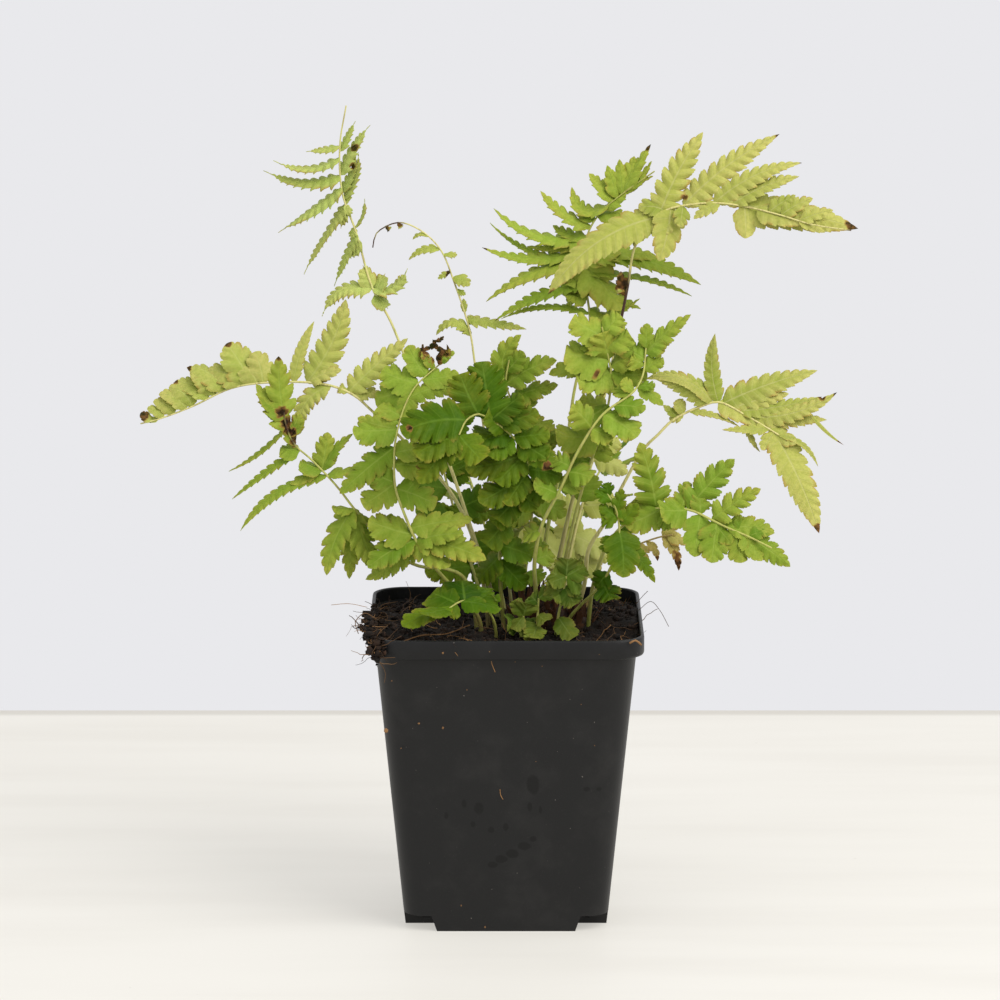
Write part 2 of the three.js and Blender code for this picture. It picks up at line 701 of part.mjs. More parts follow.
function buildSoil(crownHollow, stalkHoles) {
  const floor = FOOT_RISE + POT_WALL + CLEARANCE;
  const inset = POT_WALL + CLEARANCE;
  const geometry = new THREE.BoxGeometry(2, 2, 1, SOIL_STEPS, SOIL_STEPS, 1);
  moveVertices(geometry, (point) => {
    const upper = point.z > 0;
    const half = potHalfWidth(upper ? SOIL_LEVEL - 1.5 : floor, inset);
    toRounded(point, half, POT_CORNER_RADIUS);
    point.z = upper ? soilHeight(point.x, point.y) : floor;
  });
  const bars = [true, false].map((alongX) => footBar(
    alongX, inset, FOOT_WIDTH_BOTTOM - 2 * inset, FOOT_WIDTH_TOP - 2 * inset,
    inset, floor + 1,
  ));
  const soil = wasm.Manifold.union([toSolid(geometry), ...bars]);
  return mainBody(wasm.Manifold.difference([soil, crownHollow, ...stalkHoles]));
}

// Crown, the scaly brown rootstock that the stalks rise from

function crownForm(margin) {
  return wasm.Manifold.union(CROWN_LUMPS.map(([x, y, z, radius]) => {
    const lump = new THREE.SphereGeometry(radius + margin, 7, 5);
    lump.rotateX(Math.PI / 2);
    lump.scale(1, 1, 1.15);
    lump.translate(x, y, z);
    return toSolid(lump);
  }));
}

// Stalks

function stalkCurve(frond) {
  return new THREE.CatmullRomCurve3(frond.stalk.map(place), false, 'centripetal');
}

function stalkSteps(curve) {
  return Math.max(2, Math.round(curve.getLength() / STALK_STEP));
}

// A closed tube along a curve, its radius running evenly from root to tip. Sinking lengthens its root.
function taperedTube(curve, rootRadius, tipRadius, sink = 0) {
  const steps = stalkSteps(curve);
  const frames = curve.computeFrenetFrames(steps, false);
  const geometry = new THREE.CylinderGeometry(1, 1, 1, STALK_SIDES, steps);
  moveVertices(geometry, (point) => {
    const step = Math.round((point.y + 0.5) * steps);
    const radius = THREE.MathUtils.lerp(rootRadius, tipRadius, step / steps);
    const centre = curve.getPointAt(step / steps);
    if (step === 0) centre.addScaledVector(frames.tangents[0], -sink);
    const side = frames.normals[step].clone().multiplyScalar(point.z * radius);
    const rise = frames.binormals[step].clone().multiplyScalar(point.x * radius);
    point.copy(centre).add(side).add(rise);
  });
  return toSolid(geometry);
}

// Leaflets

// The point on the middle line of the stalk's straight stretches that shows nearest to a place.
function nearestOnStalk(curve, across, up) {
  const wanted = new THREE.Vector2(across, up);
  const corners = curve.getSpacedPoints(stalkSteps(curve));
  let nearest = null;
  let least = Infinity;
  for (let stretch = 1; stretch < corners.length; stretch += 1) {
    for (let share = 0; share < 1; share += 0.05) {
      const point = corners[stretch - 1].clone().lerp(corners[stretch], share);
      const distance = shownAt(point).distanceTo(wanted);
      if (distance < least) {
        least = distance;
        nearest = point;
      }
    }
  }
  return nearest;
}

// The curved middle line of a leaflet, its tip swung back by a further distance.
function leafletSpine(curve, row, swing) {
  const [rootAcross, rootUp, tipAcross, tipUp, tipBack, , bow] = row;
  const root = nearestOnStalk(curve, rootAcross, rootUp);
  const shownRoot = shownAt(root);
  const along = new THREE.Vector2(tipAcross, tipUp).sub(shownRoot);
  const left = new THREE.Vector2(-along.y, along.x).normalize();
  const tip = place([tipAcross, tipUp, root.y + tipBack + swing]);
  const middle = place([
    shownRoot.x + along.x / 2 + left.x * bow * 2,
    shownRoot.y + along.y / 2 + left.y * bow * 2,
    root.y + (tipBack + swing) * 0.4,
  ]);
  return new THREE.QuadraticBezierCurve3(root, middle, tip);
}

// The blade's half width along the leaflet, as a share of its widest.
function bladeWidth(share, point) {
  return Math.min(1, 0.3 + 3 * share) * (1 - share ** point);
}

// Where along the leaflet its edge turns, and its half width there: a notch and a corner for each lobe.
function bladeStations(length, halfWidth, frond) {
  const lobes = THREE.MathUtils.clamp(Math.round(length / LOBE_PITCH), 1, MOST_LOBES);
  const first = Math.min(NECK_LENGTH / length + 0.05, 0.4);
  const stations = [[0, NECK_HALF_WIDTH]];
  for (let lobe = 0; lobe < lobes; lobe += 1) {
    const notch = THREE.MathUtils.lerp(first, 0.97, lobe / lobes);
    const corner = THREE.MathUtils.lerp(first, 0.97, (lobe + 0.68) / lobes);
    const cut = lobe === 0 ? NECK_HALF_WIDTH : halfWidth * (1 - LOBE_CUT) * bladeWidth(notch, frond.point);
    stations.push([notch, cut], [corner, halfWidth * bladeWidth(corner, frond.point)]);
  }
  stations.push([1, TIP_HALF_WIDTH]);
  return stations;
}

// One blade with lobed edges, as a closed solid bent along its middle line.
function leafletSolid(spine, halfWidth, frond, margin) {
  const stations = bladeStations(spine.getLength(), halfWidth, frond);
  const steps = stations.length - 1;
  const face = new THREE.Vector3(...frond.face).normalize();
  const geometry = new THREE.BoxGeometry(1, 2, 1, steps, 1, 1);
  moveVertices(geometry, (point) => {
    const step = Math.round((point.x + 0.5) * steps);
    const [share, half] = stations[step];
    const tangent = spine.getTangent(share);
    const normal = face.clone().addScaledVector(tangent, -face.dot(tangent)).normalize();
    const side = new THREE.Vector3().crossVectors(normal, tangent);
    const across = point.y * (half + margin);
    const lift = point.z * (BLADE_THICKNESS + 2 * margin);
    point.copy(spine.getPoint(share));
    point.addScaledVector(side, across).addScaledVector(normal, lift);
    if (step === steps) point.addScaledVector(tangent, margin);
  });
  return toSolid(geometry);
}

function boxesTouch(one, other) {
  return [0, 1, 2].every((axis) => one.min[axis] <= other.max[axis] && other.min[axis] <= one.max[axis]);
}

function isClear(solid, obstacles) {
  const box = solid.boundingBox();
  return obstacles.every((obstacle) => {
    if (!boxesTouch(box, obstacle.box)) return true;
    const shared = solid.intersect(obstacle.solid);
    const clear = shared.isEmpty() || shared.volume() < 1e-6;
    shared.delete();
    return clear;
  });
}

// The blade of a leaflet row, swung clear of every other piece, or nothing where none fits.
function clearLeaflet(curve, row, frond, obstacles) {
  for (const swing of SWINGS) {
    const spine = leafletSpine(curve, row, swing);
    const tested = leafletSolid(spine, row[5], frond, KEEP_CLEAR);
    const clear = isClear(tested, obstacles);
    tested.delete();
    if (clear) return leafletSolid(spine, row[5], frond, 0);
  }
  return null;
}

function asObstacle(name, solid) {
  return { name, solid, box: solid.boundingBox() };
}

function buildFronds(fixedPieces) {
  const curves = new Map(FRONDS.map((frond) => [frond.name, stalkCurve(frond)]));
  const stalks = new Map(FRONDS.map((frond) => [
    frond.name, taperedTube(curves.get(frond.name), ...frond.radii),
  ]));
  const obstacles = [...fixedPieces];
  for (const [name, stalk] of stalks) obstacles.push(asObstacle(name, stalk));
  const solids = new Map();
  for (const frond of FRONDS) {
    const others = obstacles.filter((obstacle) => obstacle.name !== frond.name);
    const blades = frond.leaflets
      .map((row) => clearLeaflet(curves.get(frond.name), row, frond, others))
      .filter((blade) => blade !== null);
    for (const blade of blades) obstacles.push(asObstacle(frond.name, blade));
    solids.set(frond.name, mainBody(wasm.Manifold.union([stalks.get(frond.name), ...blades])));
  }
  return solids;
}

// The hole that a stalk stands in, a little wider and deeper than the stalk.
function stalkHole(frond) {
  const [rootRadius, tipRadius] = frond.radii.map((radius) => radius + CLEARANCE);
  return taperedTube(stalkCurve(frond), rootRadius, tipRadius, CLEARANCE);
}

// Assembly

function addPiece(group, name, solid, colour, roughness) {
  const material = new THREE.MeshStandardMaterial({ color: colour, roughness, metalness: 0 });
  const mesh = new THREE.Mesh(toGeometry(solid), material);
  mesh.name = name;
  group.add(mesh);
}

function buildFern() {
  const group = new THREE.Group();
  const stalkHoles = FRONDS.map(stalkHole);
  const pot = buildPot();
  const soil = buildSoil(crownForm(CLEARANCE), stalkHoles);
  const crown = mainBody(wasm.Manifold.difference([crownForm(0), ...stalkHoles]));
  const fixedPieces = [asObstacle('pot', pot), asObstacle('soil', soil), asObstacle('crown', crown)];
  const fronds = buildFronds(fixedPieces);
  addPiece(group, 'pot', pot, 0x2f2f30, 0.5);
  addPiece(group, 'soil', soil, 0x1d1712, 0.95);
  addPiece(group, 'crown', crown, 0x3a2415, 0.9);
  for (const frond of FRONDS) {
    addPiece(group, frond.name, fronds.get(frond.name), frond.colour, 0.6);
  }
  return group;
}

export default buildFern();
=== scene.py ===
# Potted fern: a square nursery pot of peat with a clump of arching fronds.
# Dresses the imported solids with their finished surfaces, and sets the stage that they are seen on.

import math
import random

import bmesh
import bpy
from bpy.props import FloatProperty, FloatVectorProperty, IntProperty, PointerProperty
from mathutils import Matrix, Vector, noise
from mathutils.bvhtree import BVHTree


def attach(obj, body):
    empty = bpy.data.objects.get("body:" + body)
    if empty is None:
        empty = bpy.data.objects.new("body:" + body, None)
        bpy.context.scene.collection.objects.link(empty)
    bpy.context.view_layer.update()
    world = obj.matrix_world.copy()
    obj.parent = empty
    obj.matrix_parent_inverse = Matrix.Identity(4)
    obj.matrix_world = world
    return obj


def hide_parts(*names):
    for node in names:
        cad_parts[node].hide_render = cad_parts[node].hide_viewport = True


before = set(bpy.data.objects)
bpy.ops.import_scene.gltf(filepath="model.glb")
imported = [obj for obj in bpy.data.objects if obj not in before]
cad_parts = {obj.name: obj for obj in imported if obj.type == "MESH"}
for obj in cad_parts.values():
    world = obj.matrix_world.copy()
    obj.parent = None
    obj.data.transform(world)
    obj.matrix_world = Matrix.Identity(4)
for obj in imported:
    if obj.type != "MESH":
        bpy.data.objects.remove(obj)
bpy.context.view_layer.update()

bl_info = {
    "name": "Potted Fern",
    "version": (1, 0, 0),
    "blender": (4, 5, 0),
    "location": "3D View > Sidebar > Fern",
    "description": "Adds the finished pot, peat, rootstock, fronds and stage of a potted fern",
    "category": "Add Mesh",
}

# Shapes are worked out in millimetres and written in metres.
MM = 0.001

# Pot: a rim band above a shoulder, walls that taper to the floor, and a foot in the form of a cross
# below the floor's raised corners
POT_HEIGHT = 100
POT_RIM_WIDTH = 90
POT_SHOULDER_HEIGHT = 93.7
POT_SHOULDER_WIDTH = 85
POT_BASE_WIDTH = 66.5
POT_WALL = 1.2
POT_CORNER_RADIUS = 10
FLOOR_CORNER_RADIUS = 8
FOOT_RISE = 5.2
FOOT_WIDTH_TOP = 49
FOOT_WIDTH_BOTTOM = 45.5
DRAIN_RADIUS = 3
DRAIN_OFFSET = 26

# Peat: its level, how far from the middle loose bits lie, and where the stalks end in it
SOIL_LEVEL = 95
LOOSE_REACH = 42
STALK_FOOT = 86

# Points closer than this, in millimetres, are one
MERGE = 1e-4

# The fern was measured from one side. A stated place is [across, up, back]: where the point shows
# on the upright plane through the pot's middle, seen from the eye, and how far behind that plane
# it really lies. Placing it along that sight line gives its true position. The camera stands at the
# eye too, and looks at the aim.
EYE = Vector((-2, -1770, 466))
AIM = Vector((-2, 0, 138.2))

# The distances that a leaflet's tip may be swung back to pass clear of the other fronds
SWINGS = (0, 3, -3, 6, -6, 10, -10, 14, -14, 19, -19)

# What a look gives: the material slot, five colours of the blades and one of the stalk, the share of
# light that comes through, how brown the rims are, the age from fresh green at 0 to yellow at 1, the
# lightness from 0 to 1, the space between lobes, the depth of the notches between them, and their
# form from rounded at 0 to saw teeth at 1
LOOK_VALUES = (
    "slot", "deep", "green", "ripe", "vein", "glow", "stalk_colour", "thin", "rim", "age", "tone", "pitch",
    "cut", "saw",
)
LOOKS = {
    "yellow": (
        "frond_yellow", 0x7e922c, 0xb2b656, 0xccc472, 0xc8c486, 0xc4c860, 0xc4bc7a, 0.28, 0.8, 0.36, 0.5,
        3.3, 0.38, 0.5,
    ),
    "lime": (
        "frond_yellow", 0x7c9630, 0xaaba50, 0xc4bc6c, 0xc4c878, 0xbcca44, 0xc6be7c, 0.28, 0.7, 0.3, 0.5,
        3.3, 0.4, 0.4,
    ),
    "pale": (
        "frond_yellow", 0xaab24c, 0xc4ce76, 0xd8d88a, 0xdcd898, 0xdcda74, 0xc2ba78, 0.35, 0.5, 0.34, 0.6,
        4, 0.34, 0.2,
    ),
    "fresh": (
        "frond_fresh", 0x587a14, 0x8ca638, 0xb4b04a, 0x9eb04e, 0x9cc02a, 0xa6a656, 0.28, 0.45, 0.2, 0.5,
        3.8, 0.4, 0.3,
    ),
    "dark": (
        "frond_dark", 0x2c4c00, 0x547608, 0x888e26, 0x6c8a2c, 0x6e9a10, 0x989a4a, 0.24, 0.3, 0.12, 0.5, 4,
        0.34, 0.2,
    ),
    "young": (
        "frond_young", 0x304c06, 0x58761c, 0x8a8a38, 0x7e9248, 0x6e9422, 0x9a9a50, 0.26, 0.3, 0.22, 0.4,
        3.8, 0.32, 0.1,
    ),
    "withered": (
        "frond_withered", 0xa4a048, 0xc2be66, 0xccb270, 0xcebc78, 0xc8b04c, 0xa08850, 0.24, 1.0, 0.3, 0.55,
        3.4, 0.42, 0.3,
    ),
}


def new_frond(name, look, radii, face, point, stalk, leaflets, spots=(), thread=0, **own):
    """One frond. Its stalk is places from the soil to the tip, its radii are the stalk's at both ends,
    its face is the way the upper surfaces look, point tells how late a leaflet narrows, and thread how
    much of its end is drawn thin. Spots are withered places, each [across, up, radius]. A leaflet is
    [root, tip across, tip up, tip behind its root, half width, bow to its left, cut, tone], where the
    last three may be left out. Its root is the percentage of the stalk below it, or else [across, up],
    where it hangs by another leaflet. Other values given take the place of the look's own."""
    return {
        **dict(zip(LOOK_VALUES, LOOKS[look])), **own, "name": "frond_" + name, "radii": radii,
        "face": face, "point": point, "stalk": stalk, "leaflets": leaflets, "spots": spots,
        "thread": thread,
    }


FRONDS = (
    # Painted highlight: this frond's lighter green and high tone paint bright highlights into its
    # leaflets' colour
    new_frond(
        "tall_left", "lime", radii=(1, 0.4), face=(0, -0.4, 0.92), point=1.6, thread=0.12, pitch=2.6,
        cut=0.36, saw=0.8, green=0xbccc72, tone=0.95,
        spots=((-49.4, 255, 1.6), (-50.1, 249, 1.4)),
        stalk=(
            (-1, STALK_FOOT, 9), (-3, 100, 10), (-12, 130, 14), (-24, 165, 18), (-32, 183, 20),
            (-38, 198, 21), (-43.9, 209, 21), (-49, 227, 21), (-53.6, 240.5, 21), (-54.3, 256, 20),
            (-52.2, 269, 18),
        ),
        leaflets=(
            (93, -65.4, 254, -2, 2.6, 0.5), (91, -76, 251.1, -3, 4.4, 3.2),
            (87, -79.3, 247.8, 0, 4.7, 3.5), (85, -74.7, 227.3, 2, 4.9, 0.8), (82, -66.4, 213.5, 3, 3.9),
            (77, -56.5, 209.5, 3, 2.9), (68, -60.5, 199.5, -2, 4.4, -4), (82, -54.2, 228.6, 0, 3.1),
            (75, -51.2, 219, 0, 2.3), (68, -46.9, 216.5, 0, 4.4, 0, 0.2),
            (67, -39.7, 213.8, 1, 4.2, 0, 0.2), (67, -38.7, 202.1, -1, 4.2, 0, 0.2),
            (92, -49.2, 264, 2, 2.3), (87, -44.4, 262.7, 0, 3.9, 0.8), (82, -48.9, 256.2, 3, 1.7, -0.6),
            (83, -48.3, 253.8, 2, 2.9, -1.5), (78, -46.3, 238.4, -2, 1.8, -1),
            (68, -32.4, 215.5, 0, 4.9, -3.4), (76, -49.9, 218.9, 0, 3.1), (78, -50.9, 225.3, 0, 2.3),
            (84, -47.9, 251.5, 1, 2.6), (82, -50.9, 232.7, 0, 2.3),
        ),
    ),
    new_frond(
        "thin_arching", "lime", radii=(0.8, 0.35), face=(0, -0.6, 0.8), point=2, tone=0.75, saw=0.7,
        spots=(
            (-43.6, 223, 4.5), (-41, 229, 4), (-37.7, 231, 2.4), (-34.7, 230.6, 1.6), (-19, 213.5, 1.5),
        ),
        stalk=(
            (2, STALK_FOOT, 14), (2, 100, 15), (-2, 130, 20), (-7, 160, 26), (-10.3, 184, 30),
            (-12, 195, 31), (-16.9, 210.5, 32), (-21.6, 221.8, 32), (-28.3, 228.2, 31), (-35.4, 230.6, 30),
            (-42.5, 227, 28), (-43.7, 222.3, 27),
        ),
        leaflets=(
            (65, -23, 193.3, 0, 3.2, -3.5), (68, 6.7, 195.3, -3, 3, 0.5), (69, -14, 205.5, 0, 1.5),
            (76, -12, 209.6, -2, 3, 0.6), (77, -22.4, 212, 0, 1.6), (81, -16, 219.9, 0, 2.2, 0.3),
            (82, -32, 218.2, 0, 2, -1.6), (86, -30.6, 225, 0, 1.5, -1.3), (74, -13.2, 206.8, 0, 1.7),
            (95, -38, 228.3, 0, 1.5), (93, -34.1, 229, 0, 1.5), (64, -15.8, 195.3, 1, 2.6, -1),
            (67, -10.8, 199.8, 1, 2.2),
        ),
    ),
    new_frond(
        "long_left", "lime", radii=(1, 0.4), face=(0.1, -0.75, 0.65), point=2.4, tone=0.6, age=0.48,
        spots=((-120.3, 166.4, 3.4), (-109, 178.5, 1.5), (-105, 182.4, 1.6), (-91.8, 190.4, 2)),
        stalk=(
            (-6, STALK_FOOT, 2), (-6, 98, 1), (-10, 122, -2), (-16, 137, -3), (-23, 147, -3),
            (-33.5, 158, -3), (-43.6, 167.5, -3), (-50.3, 173.4, -3), (-60, 177, -2), (-80, 177.4, 0),
            (-90.8, 175.5, 1), (-103.5, 169.5, 0), (-114.6, 165.3, -2), (-120.5, 163.8, -4),
        ),
        leaflets=(
            (96, -118.3, 168.8, 0, 2.4, -0.8, 0.2), (91, -114.4, 173.5, 0, 3.6, -1.5, 0.26),
            (87, -109.1, 177.9, 2, 4.2, -1.7, 0.26), (83, -105.1, 182.6, 3, 4.8, -1.8, 0.28),
            (78, -91.9, 190.6, 3, 6.8, -0.5, 0.3), (70, -63, 198, 4, 2.4, 1, 0.25),
            (67, -52.6, 205.3, 2, 5.8, -2), (67, -54.1, 181.8, 0, 3.2, 0.5),
            (63, -67.8, 160.3, -4, 3.9, -4), (58, -41.2, 173.8, 2, 3.3, 0.8),
            (60, -32.3, 192.3, 4, 5, 0.5), (72, -80.5, 172.5, -2, 1.9), (60, -54.9, 176, 0, 2.6),
            (85, -104.1, 180.6, 1, 4.6, -1.8, 0.26), (75, -82.6, 187.9, 3, 5.2, -0.5, 0.28),
            (90, -111.1, 175.8, 1, 4, -1.6, 0.26), (80, -98.2, 181.6, 2, 4.8, -1.6, 0.26),
            (76, -87.3, 183.6, 2, 4.8, -1, 0.26), (93, -116.3, 171.1, 0, 3, -1.2, 0.22),
            (97, -119.6, 164.8, 0, 1.4, -0.3, 0.1), (98, -120.5, 167.3, 0, 2.2, 0, 0.2),
        ),
    ),
    new_frond(
        "hanging_left", "fresh", radii=(1, 0.45), face=(0, -0.5, 0.86), point=2.2, tone=0.6, age=0.24,
        saw=0.6, pitch=3.6,
        spots=(
            (-75.5, 186.5, 2), (-74, 167.6, 2.4), (-72.4, 164.4, 2.6), (-71, 161, 2.5), (-69.8, 158, 2.3),
        ),
        stalk=(
            (-10, STALK_FOOT, -4), (-10, 98, -5), (-14, 112, -9), (-20, 115, -12), (-29, 116, -14),
            (-38, 121, -16), (-46, 130, -18), (-50.4, 135.5, -19), (-56.5, 143.5, -19),
            (-64.8, 152.3, -18), (-69.5, 156.5, -18), (-72.5, 163, -18), (-73.5, 170, -17),
        ),
        leaflets=(
            (93, -82.3, 177, 2, 4.8, -0.5), (97, -74.8, 186.3, 0, 5.5, 0.6), (92, -66.5, 164.5, 0, 2.3),
            (95, -91.6, 147.9, 3, 1.9, 1.2), (86, -90.6, 138.5, 0, 2.1, -0.6),
            (76, -87.9, 127.8, -4, 2.9, -4), (78, -68.1, 151, 0, 4.6, 0, 0.2), (78, -58.8, 161, 2, 4.6),
            (78, -50.5, 160.5, 2, 2.9, 1), (76, -48.5, 148, 0, 3.2, 0.5),
            (64, -59.5, 112.8, -5, 5.5, -1.5), (64, -52, 111.5, 2, 4.8), (63, -42.8, 115.5, -3, 6.3, -1),
            (64, -57.5, 135.5, -2, 3.8), (58, -37, 131.5, -3, 4.4, 0.5), (86, -74.7, 155, 1, 4.4, 0, 0.2),
            (88, -74.4, 168.8, -2, 2.5, 0.5, 0.3), (92, -67.8, 167.1, 2, 3.6),
            (80, -71.4, 143.6, 1, 3.4, 0.6), (97, -81.3, 172.1, 0, 3.8),
        ),
    ),
    new_frond(
        "centre_left", "fresh", radii=(1, 0.4), face=(0, -0.78, 0.62), point=2.6, tone=0.65,
        spots=((-57, 141, 2.4), (-23.6, 189.6, 6.4), (-29, 150, 1.2)),
        stalk=(
            (-8, STALK_FOOT, -8), (-9, 98, -9), (-17.5, 108.5, -15), (-24, 116, -20), (-29, 123, -24),
            (-34, 134.5, -24), (-36.5, 142, -22), (-37, 150, -20), (-36.5, 158, -18), (-34, 168, -15),
            (-30, 176, -12), (-22, 183.5, -8),
        ),
        leaflets=(
            (45, -14, 127, -6, 4.8, 0.5, 0.42, 0.36), (45, -6.5, 118, -8, 5.7, 1, 0.42, 0.36),
            (47, -45.5, 131.5, -2, 6.4, 0.5, 0.42, 0.36), (45, -45.8, 115.3, -5, 5.6, -1, 0.42, 0.36),
            (48, -11, 131.8, 4, 4.8, 0.5, 0.42, 0.36), (78, -50.6, 161.4, -3, 6.2, 0.5),
            (72, -55, 140.3, -3, 5.2, -0.5), (62, -47.5, 136.5, -3, 6, 0.5, 0.42, 0.36),
            (78, -49, 165.8, 1, 3.6, 0.5), (81, -41.5, 170.2, 1, 4.2), (67, -24.5, 147.5, 3, 6, 1),
            (60, -23, 136.5, 3, 6.5, 0.5, 0.42, 0.36), (88, -34.2, 164.8, -3, 3.8),
            (88, -43.3, 172, 5, 6.4, -0.5), (91, -41, 181.5, 3, 6.2, 0.5), (95, -32.2, 190, 3, 4.4, 0.5),
            (93, -15.6, 180.8, 2, 4.4, -0.6), (86, -15, 174.5, 3, 3.8, 2.2),
            (98, -27.5, 188.3, 0, 2.1, 0.5), (100, -16.8, 187.3, 0, 2.5, 1.5),
            (100, -19.5, 190.3, -1, 1.1, -1.6, 0.5, 0.3),
            ((-19.2, 188.3), -24.1, 192, -1, 1.1, 1.4, 0.5, 0.3),
            ((-22.8, 191.6), -28.4, 189, 0, 1.1, 1.2, 0.5, 0.3),
            ((-27.4, 190.3), -24.8, 186.3, -1, 1.1, -1, 0.5, 0.3),
            (100, -19.8, 187.9, -1, 1.1, 1.2, 0.5, 0.3),
            ((-24.1, 191.6), -20.5, 193, 0, 1.1, -0.6, 0.5, 0.3),
            (43, -46.6, 111.4, 5, 4.6, 0, 0.42, 0.36), (62, -45.6, 147.6, 3, 5.2),
            (79, -42.6, 169.1, 3, 5), (71, -25.7, 156.1, 5, 5.2),
            (45, -18.5, 115.8, -7, 4.8, -0.5, 0.42, 0.36),
        ),
    ),
    new_frond(
        "centre_dark", "dark", radii=(1, 0.5), face=(0, -0.78, 0.62), point=3, pitch=3.2, tone=0.45,
        spots=((-31.5, 162.5, 1.3), (13.5, 149.5, 1.8)),
        stalk=(
            (0, STALK_FOOT, -5), (-1, 98, -6), (-2, 121, -12), (0, 130, -14), (4, 140, -16), (7, 147, -18),
            (5.5, 155, -21), (0, 161.5, -24), (-5, 165, -26), (-9, 167, -28), (-13, 165, -31),
            (-15.5, 160, -34),
        ),
        leaflets=(
            (94, -34.5, 160.5, -3, 8.2, -1.5, 0.4), (100, -30, 153.5, -4, 6.4, -0.5, 0.42),
            (100, -8, 151.5, -5, 5.6, 0, 0.42), (89, -15, 180.5, 4, 7, 0.5, 0.4),
            (85, -7.9, 184.6, 6, 8, 0, 0.4), (81, 4.5, 171, 3, 5.8, 0, 0.42),
            (69, -13.5, 149, -5, 6.2, 1, 0.4, 0.35), (61, -9, 137.5, -7, 6.2, 0.5, 0.42, 0.3),
            (74, 15.5, 150.5, -3, 5.1, 0.5), (63, 18.5, 145.5, -2, 4.5, 0.5), (78, -9.5, 158, -4, 4.8),
            (48, -4, 130, -2, 4.5), (78, -10.8, 160.6, -2, 6.2, 0, 0.36),
            (100, -29, 143.8, -3, 5.4, 0, 0.4), (100, -25.7, 151.6, 0, 4.6, 0, 0.4),
            (85, 5.2, 173.5, 2, 5, 0, 0.38), (81, 10.7, 167.9, 2, 4.8, 0, 0.4),
            (76, 14.5, 160.6, 1, 4.6, 0, 0.4), (70, 14.5, 153.9, 0, 4.2, 0, 0.42),
            (31, -9.3, 111.3, 4, 5.2), (30, 6.6, 108.6, 2, 4.8), (35, 8.9, 119.4, 1, 5.2),
            (52, -3, 131.5, -4, 5.6), (44, -6.6, 123.1, -3, 5.6), (59, 13.9, 138.9, -2, 5),
            (80, -6.4, 167.3, 3, 5.2), (69, -3, 143.9, -5, 5.4, 0, 0.42, 0.75),
            (61, 0, 136.5, -6, 5, 0, 0.4, 0.5), (57, 8.2, 134.2, -3, 4.2, 0, 0.3, 0.3),
            (76, -6, 153.3, -6, 5, 0, 0.3, 0.6),
        ),
    ),
    new_frond(
        "centre_top", "fresh", radii=(0.9, 0.45), face=(0, -0.7, 0.7), point=2.2,
        stalk=(
            (5, STALK_FOOT, 5), (5, 98, 5), (7, 120, 4), (9, 140, 3), (8.5, 155, 1), (4, 167, -1),
            (0, 177, -3), (1, 185, -4),
        ),
        leaflets=(
            (92, 5, 193.5, 1, 5, 3.4), (96, 5.8, 187.8, -2, 4.1), (92, 16.7, 185, -3, 5.4, 1, 0.42),
            (87, 17.2, 176.8, -1, 4.6, 0.5, 0.42), (81, 10.6, 173.6, 2, 2.8),
            (77, 16, 162, -5, 4.8, 0.5, 0.42), (69, 21.5, 161, -3, 4.6, 0.5, 0.42),
            (63, 17.4, 158.2, 3, 2.2), (62, -2, 153, 4, 5.2, 0, 0.42), (52, 20, 133, -1, 5.6, 0, 0.42),
            (48, -2.5, 129.5, 3, 5.8, 0, 0.42), (37, 1, 120, -4, 4.7), (94, -3.7, 181.9, 3, 4.4),
            (79, 7.9, 168.5, 3, 4), (69, 14.5, 160, 4, 4.6), (46, 15.6, 138.2, 4, 5),
            (35, 13.4, 123.6, 3, 4.6), (29, 0.2, 113.6, -2, 4.6), (27, 12.3, 111.3, -4, 4.4),
        ),
    ),
    # Painted light: this frond's raised tone and age paint it lighter, where it is lit most
    new_frond(
        "upper_right", "fresh", radii=(1, 0.5), face=(0, -0.75, 0.66), point=2.6, tone=0.75, age=0.27,
        spots=((30, 180, 1.4),),
        stalk=(
            (16, STALK_FOOT, 4), (16.5, 98, 4), (20, 120, 1), (26, 145, -2), (31, 160, -5), (34, 172, -8),
            (34.5, 181, -10), (33, 189, -12), (31.5, 196, -13),
        ),
        leaflets=(
            (90, 19.4, 187.5, -2, 7.6, 0.5), (86, 23.5, 178.5, -4, 6.7, 0.5), (88, 40, 186.5, -1, 5.3),
            (93, 40.5, 194, 0, 5.6), (97, 21.5, 198.5, 1, 6.3), (98, 37.5, 200, 1, 4.8),
            (86, 46.5, 180.5, -2, 5.3, -0.8), (76, 25.5, 165, -5, 6.5, 0.5), (66, 16.5, 160, -6, 7.1, 0.5),
            (68, 30.5, 155.5, -8, 4.8), (46, 28.5, 147, 3, 5.6), (86, 28.3, 175.2, -3, 5.4),
            (85, 40.4, 175.2, -2, 5.4), (93, 26.1, 191.4, 2, 5.6), (75, 24.4, 172.4, 3, 5.4),
            (68, 36.6, 165.1, 2, 5.4), (59, 33.8, 156.1, 2, 5), (58, 20, 152.8, 3, 5),
            (86, 14, 180.2, 4, 5, -2), (90, 31.6, 194.2, 3, 6.5),
        ),
    ),
    new_frond(
        "right_middle", "fresh", radii=(1.1, 0.5), face=(0, -0.75, 0.66), point=2.2, slot="frond_dark",
        tone=0.6,
        stalk=(
            (10, STALK_FOOT, -4), (10.3, 100, -7), (9.5, 118, -13), (12, 130, -17), (18, 142, -20),
            (24, 155, -21), (32, 167, -20), (42, 174.5, -18), (45, 180, -15), (46, 189, -12),
        ),
        leaflets=(
            (88, 51.8, 169.8, 0, 3.1, 0.6), (86, 38.3, 178.6, 0, 3.1), (88, 49.2, 176.8, 0, 2.8),
            (93, 52, 184.8, 0, 4.2, 0.5), (97, 38.8, 189.7, 0, 5.2), (98, 60.7, 200.2, 0, 4.4, 0.5),
            (100, 46.3, 197.3, 1, 3.1), (76, 43.5, 159.5, -3, 6.8, 0.5), (80, 46, 168.5, -2, 4.8, 0.5),
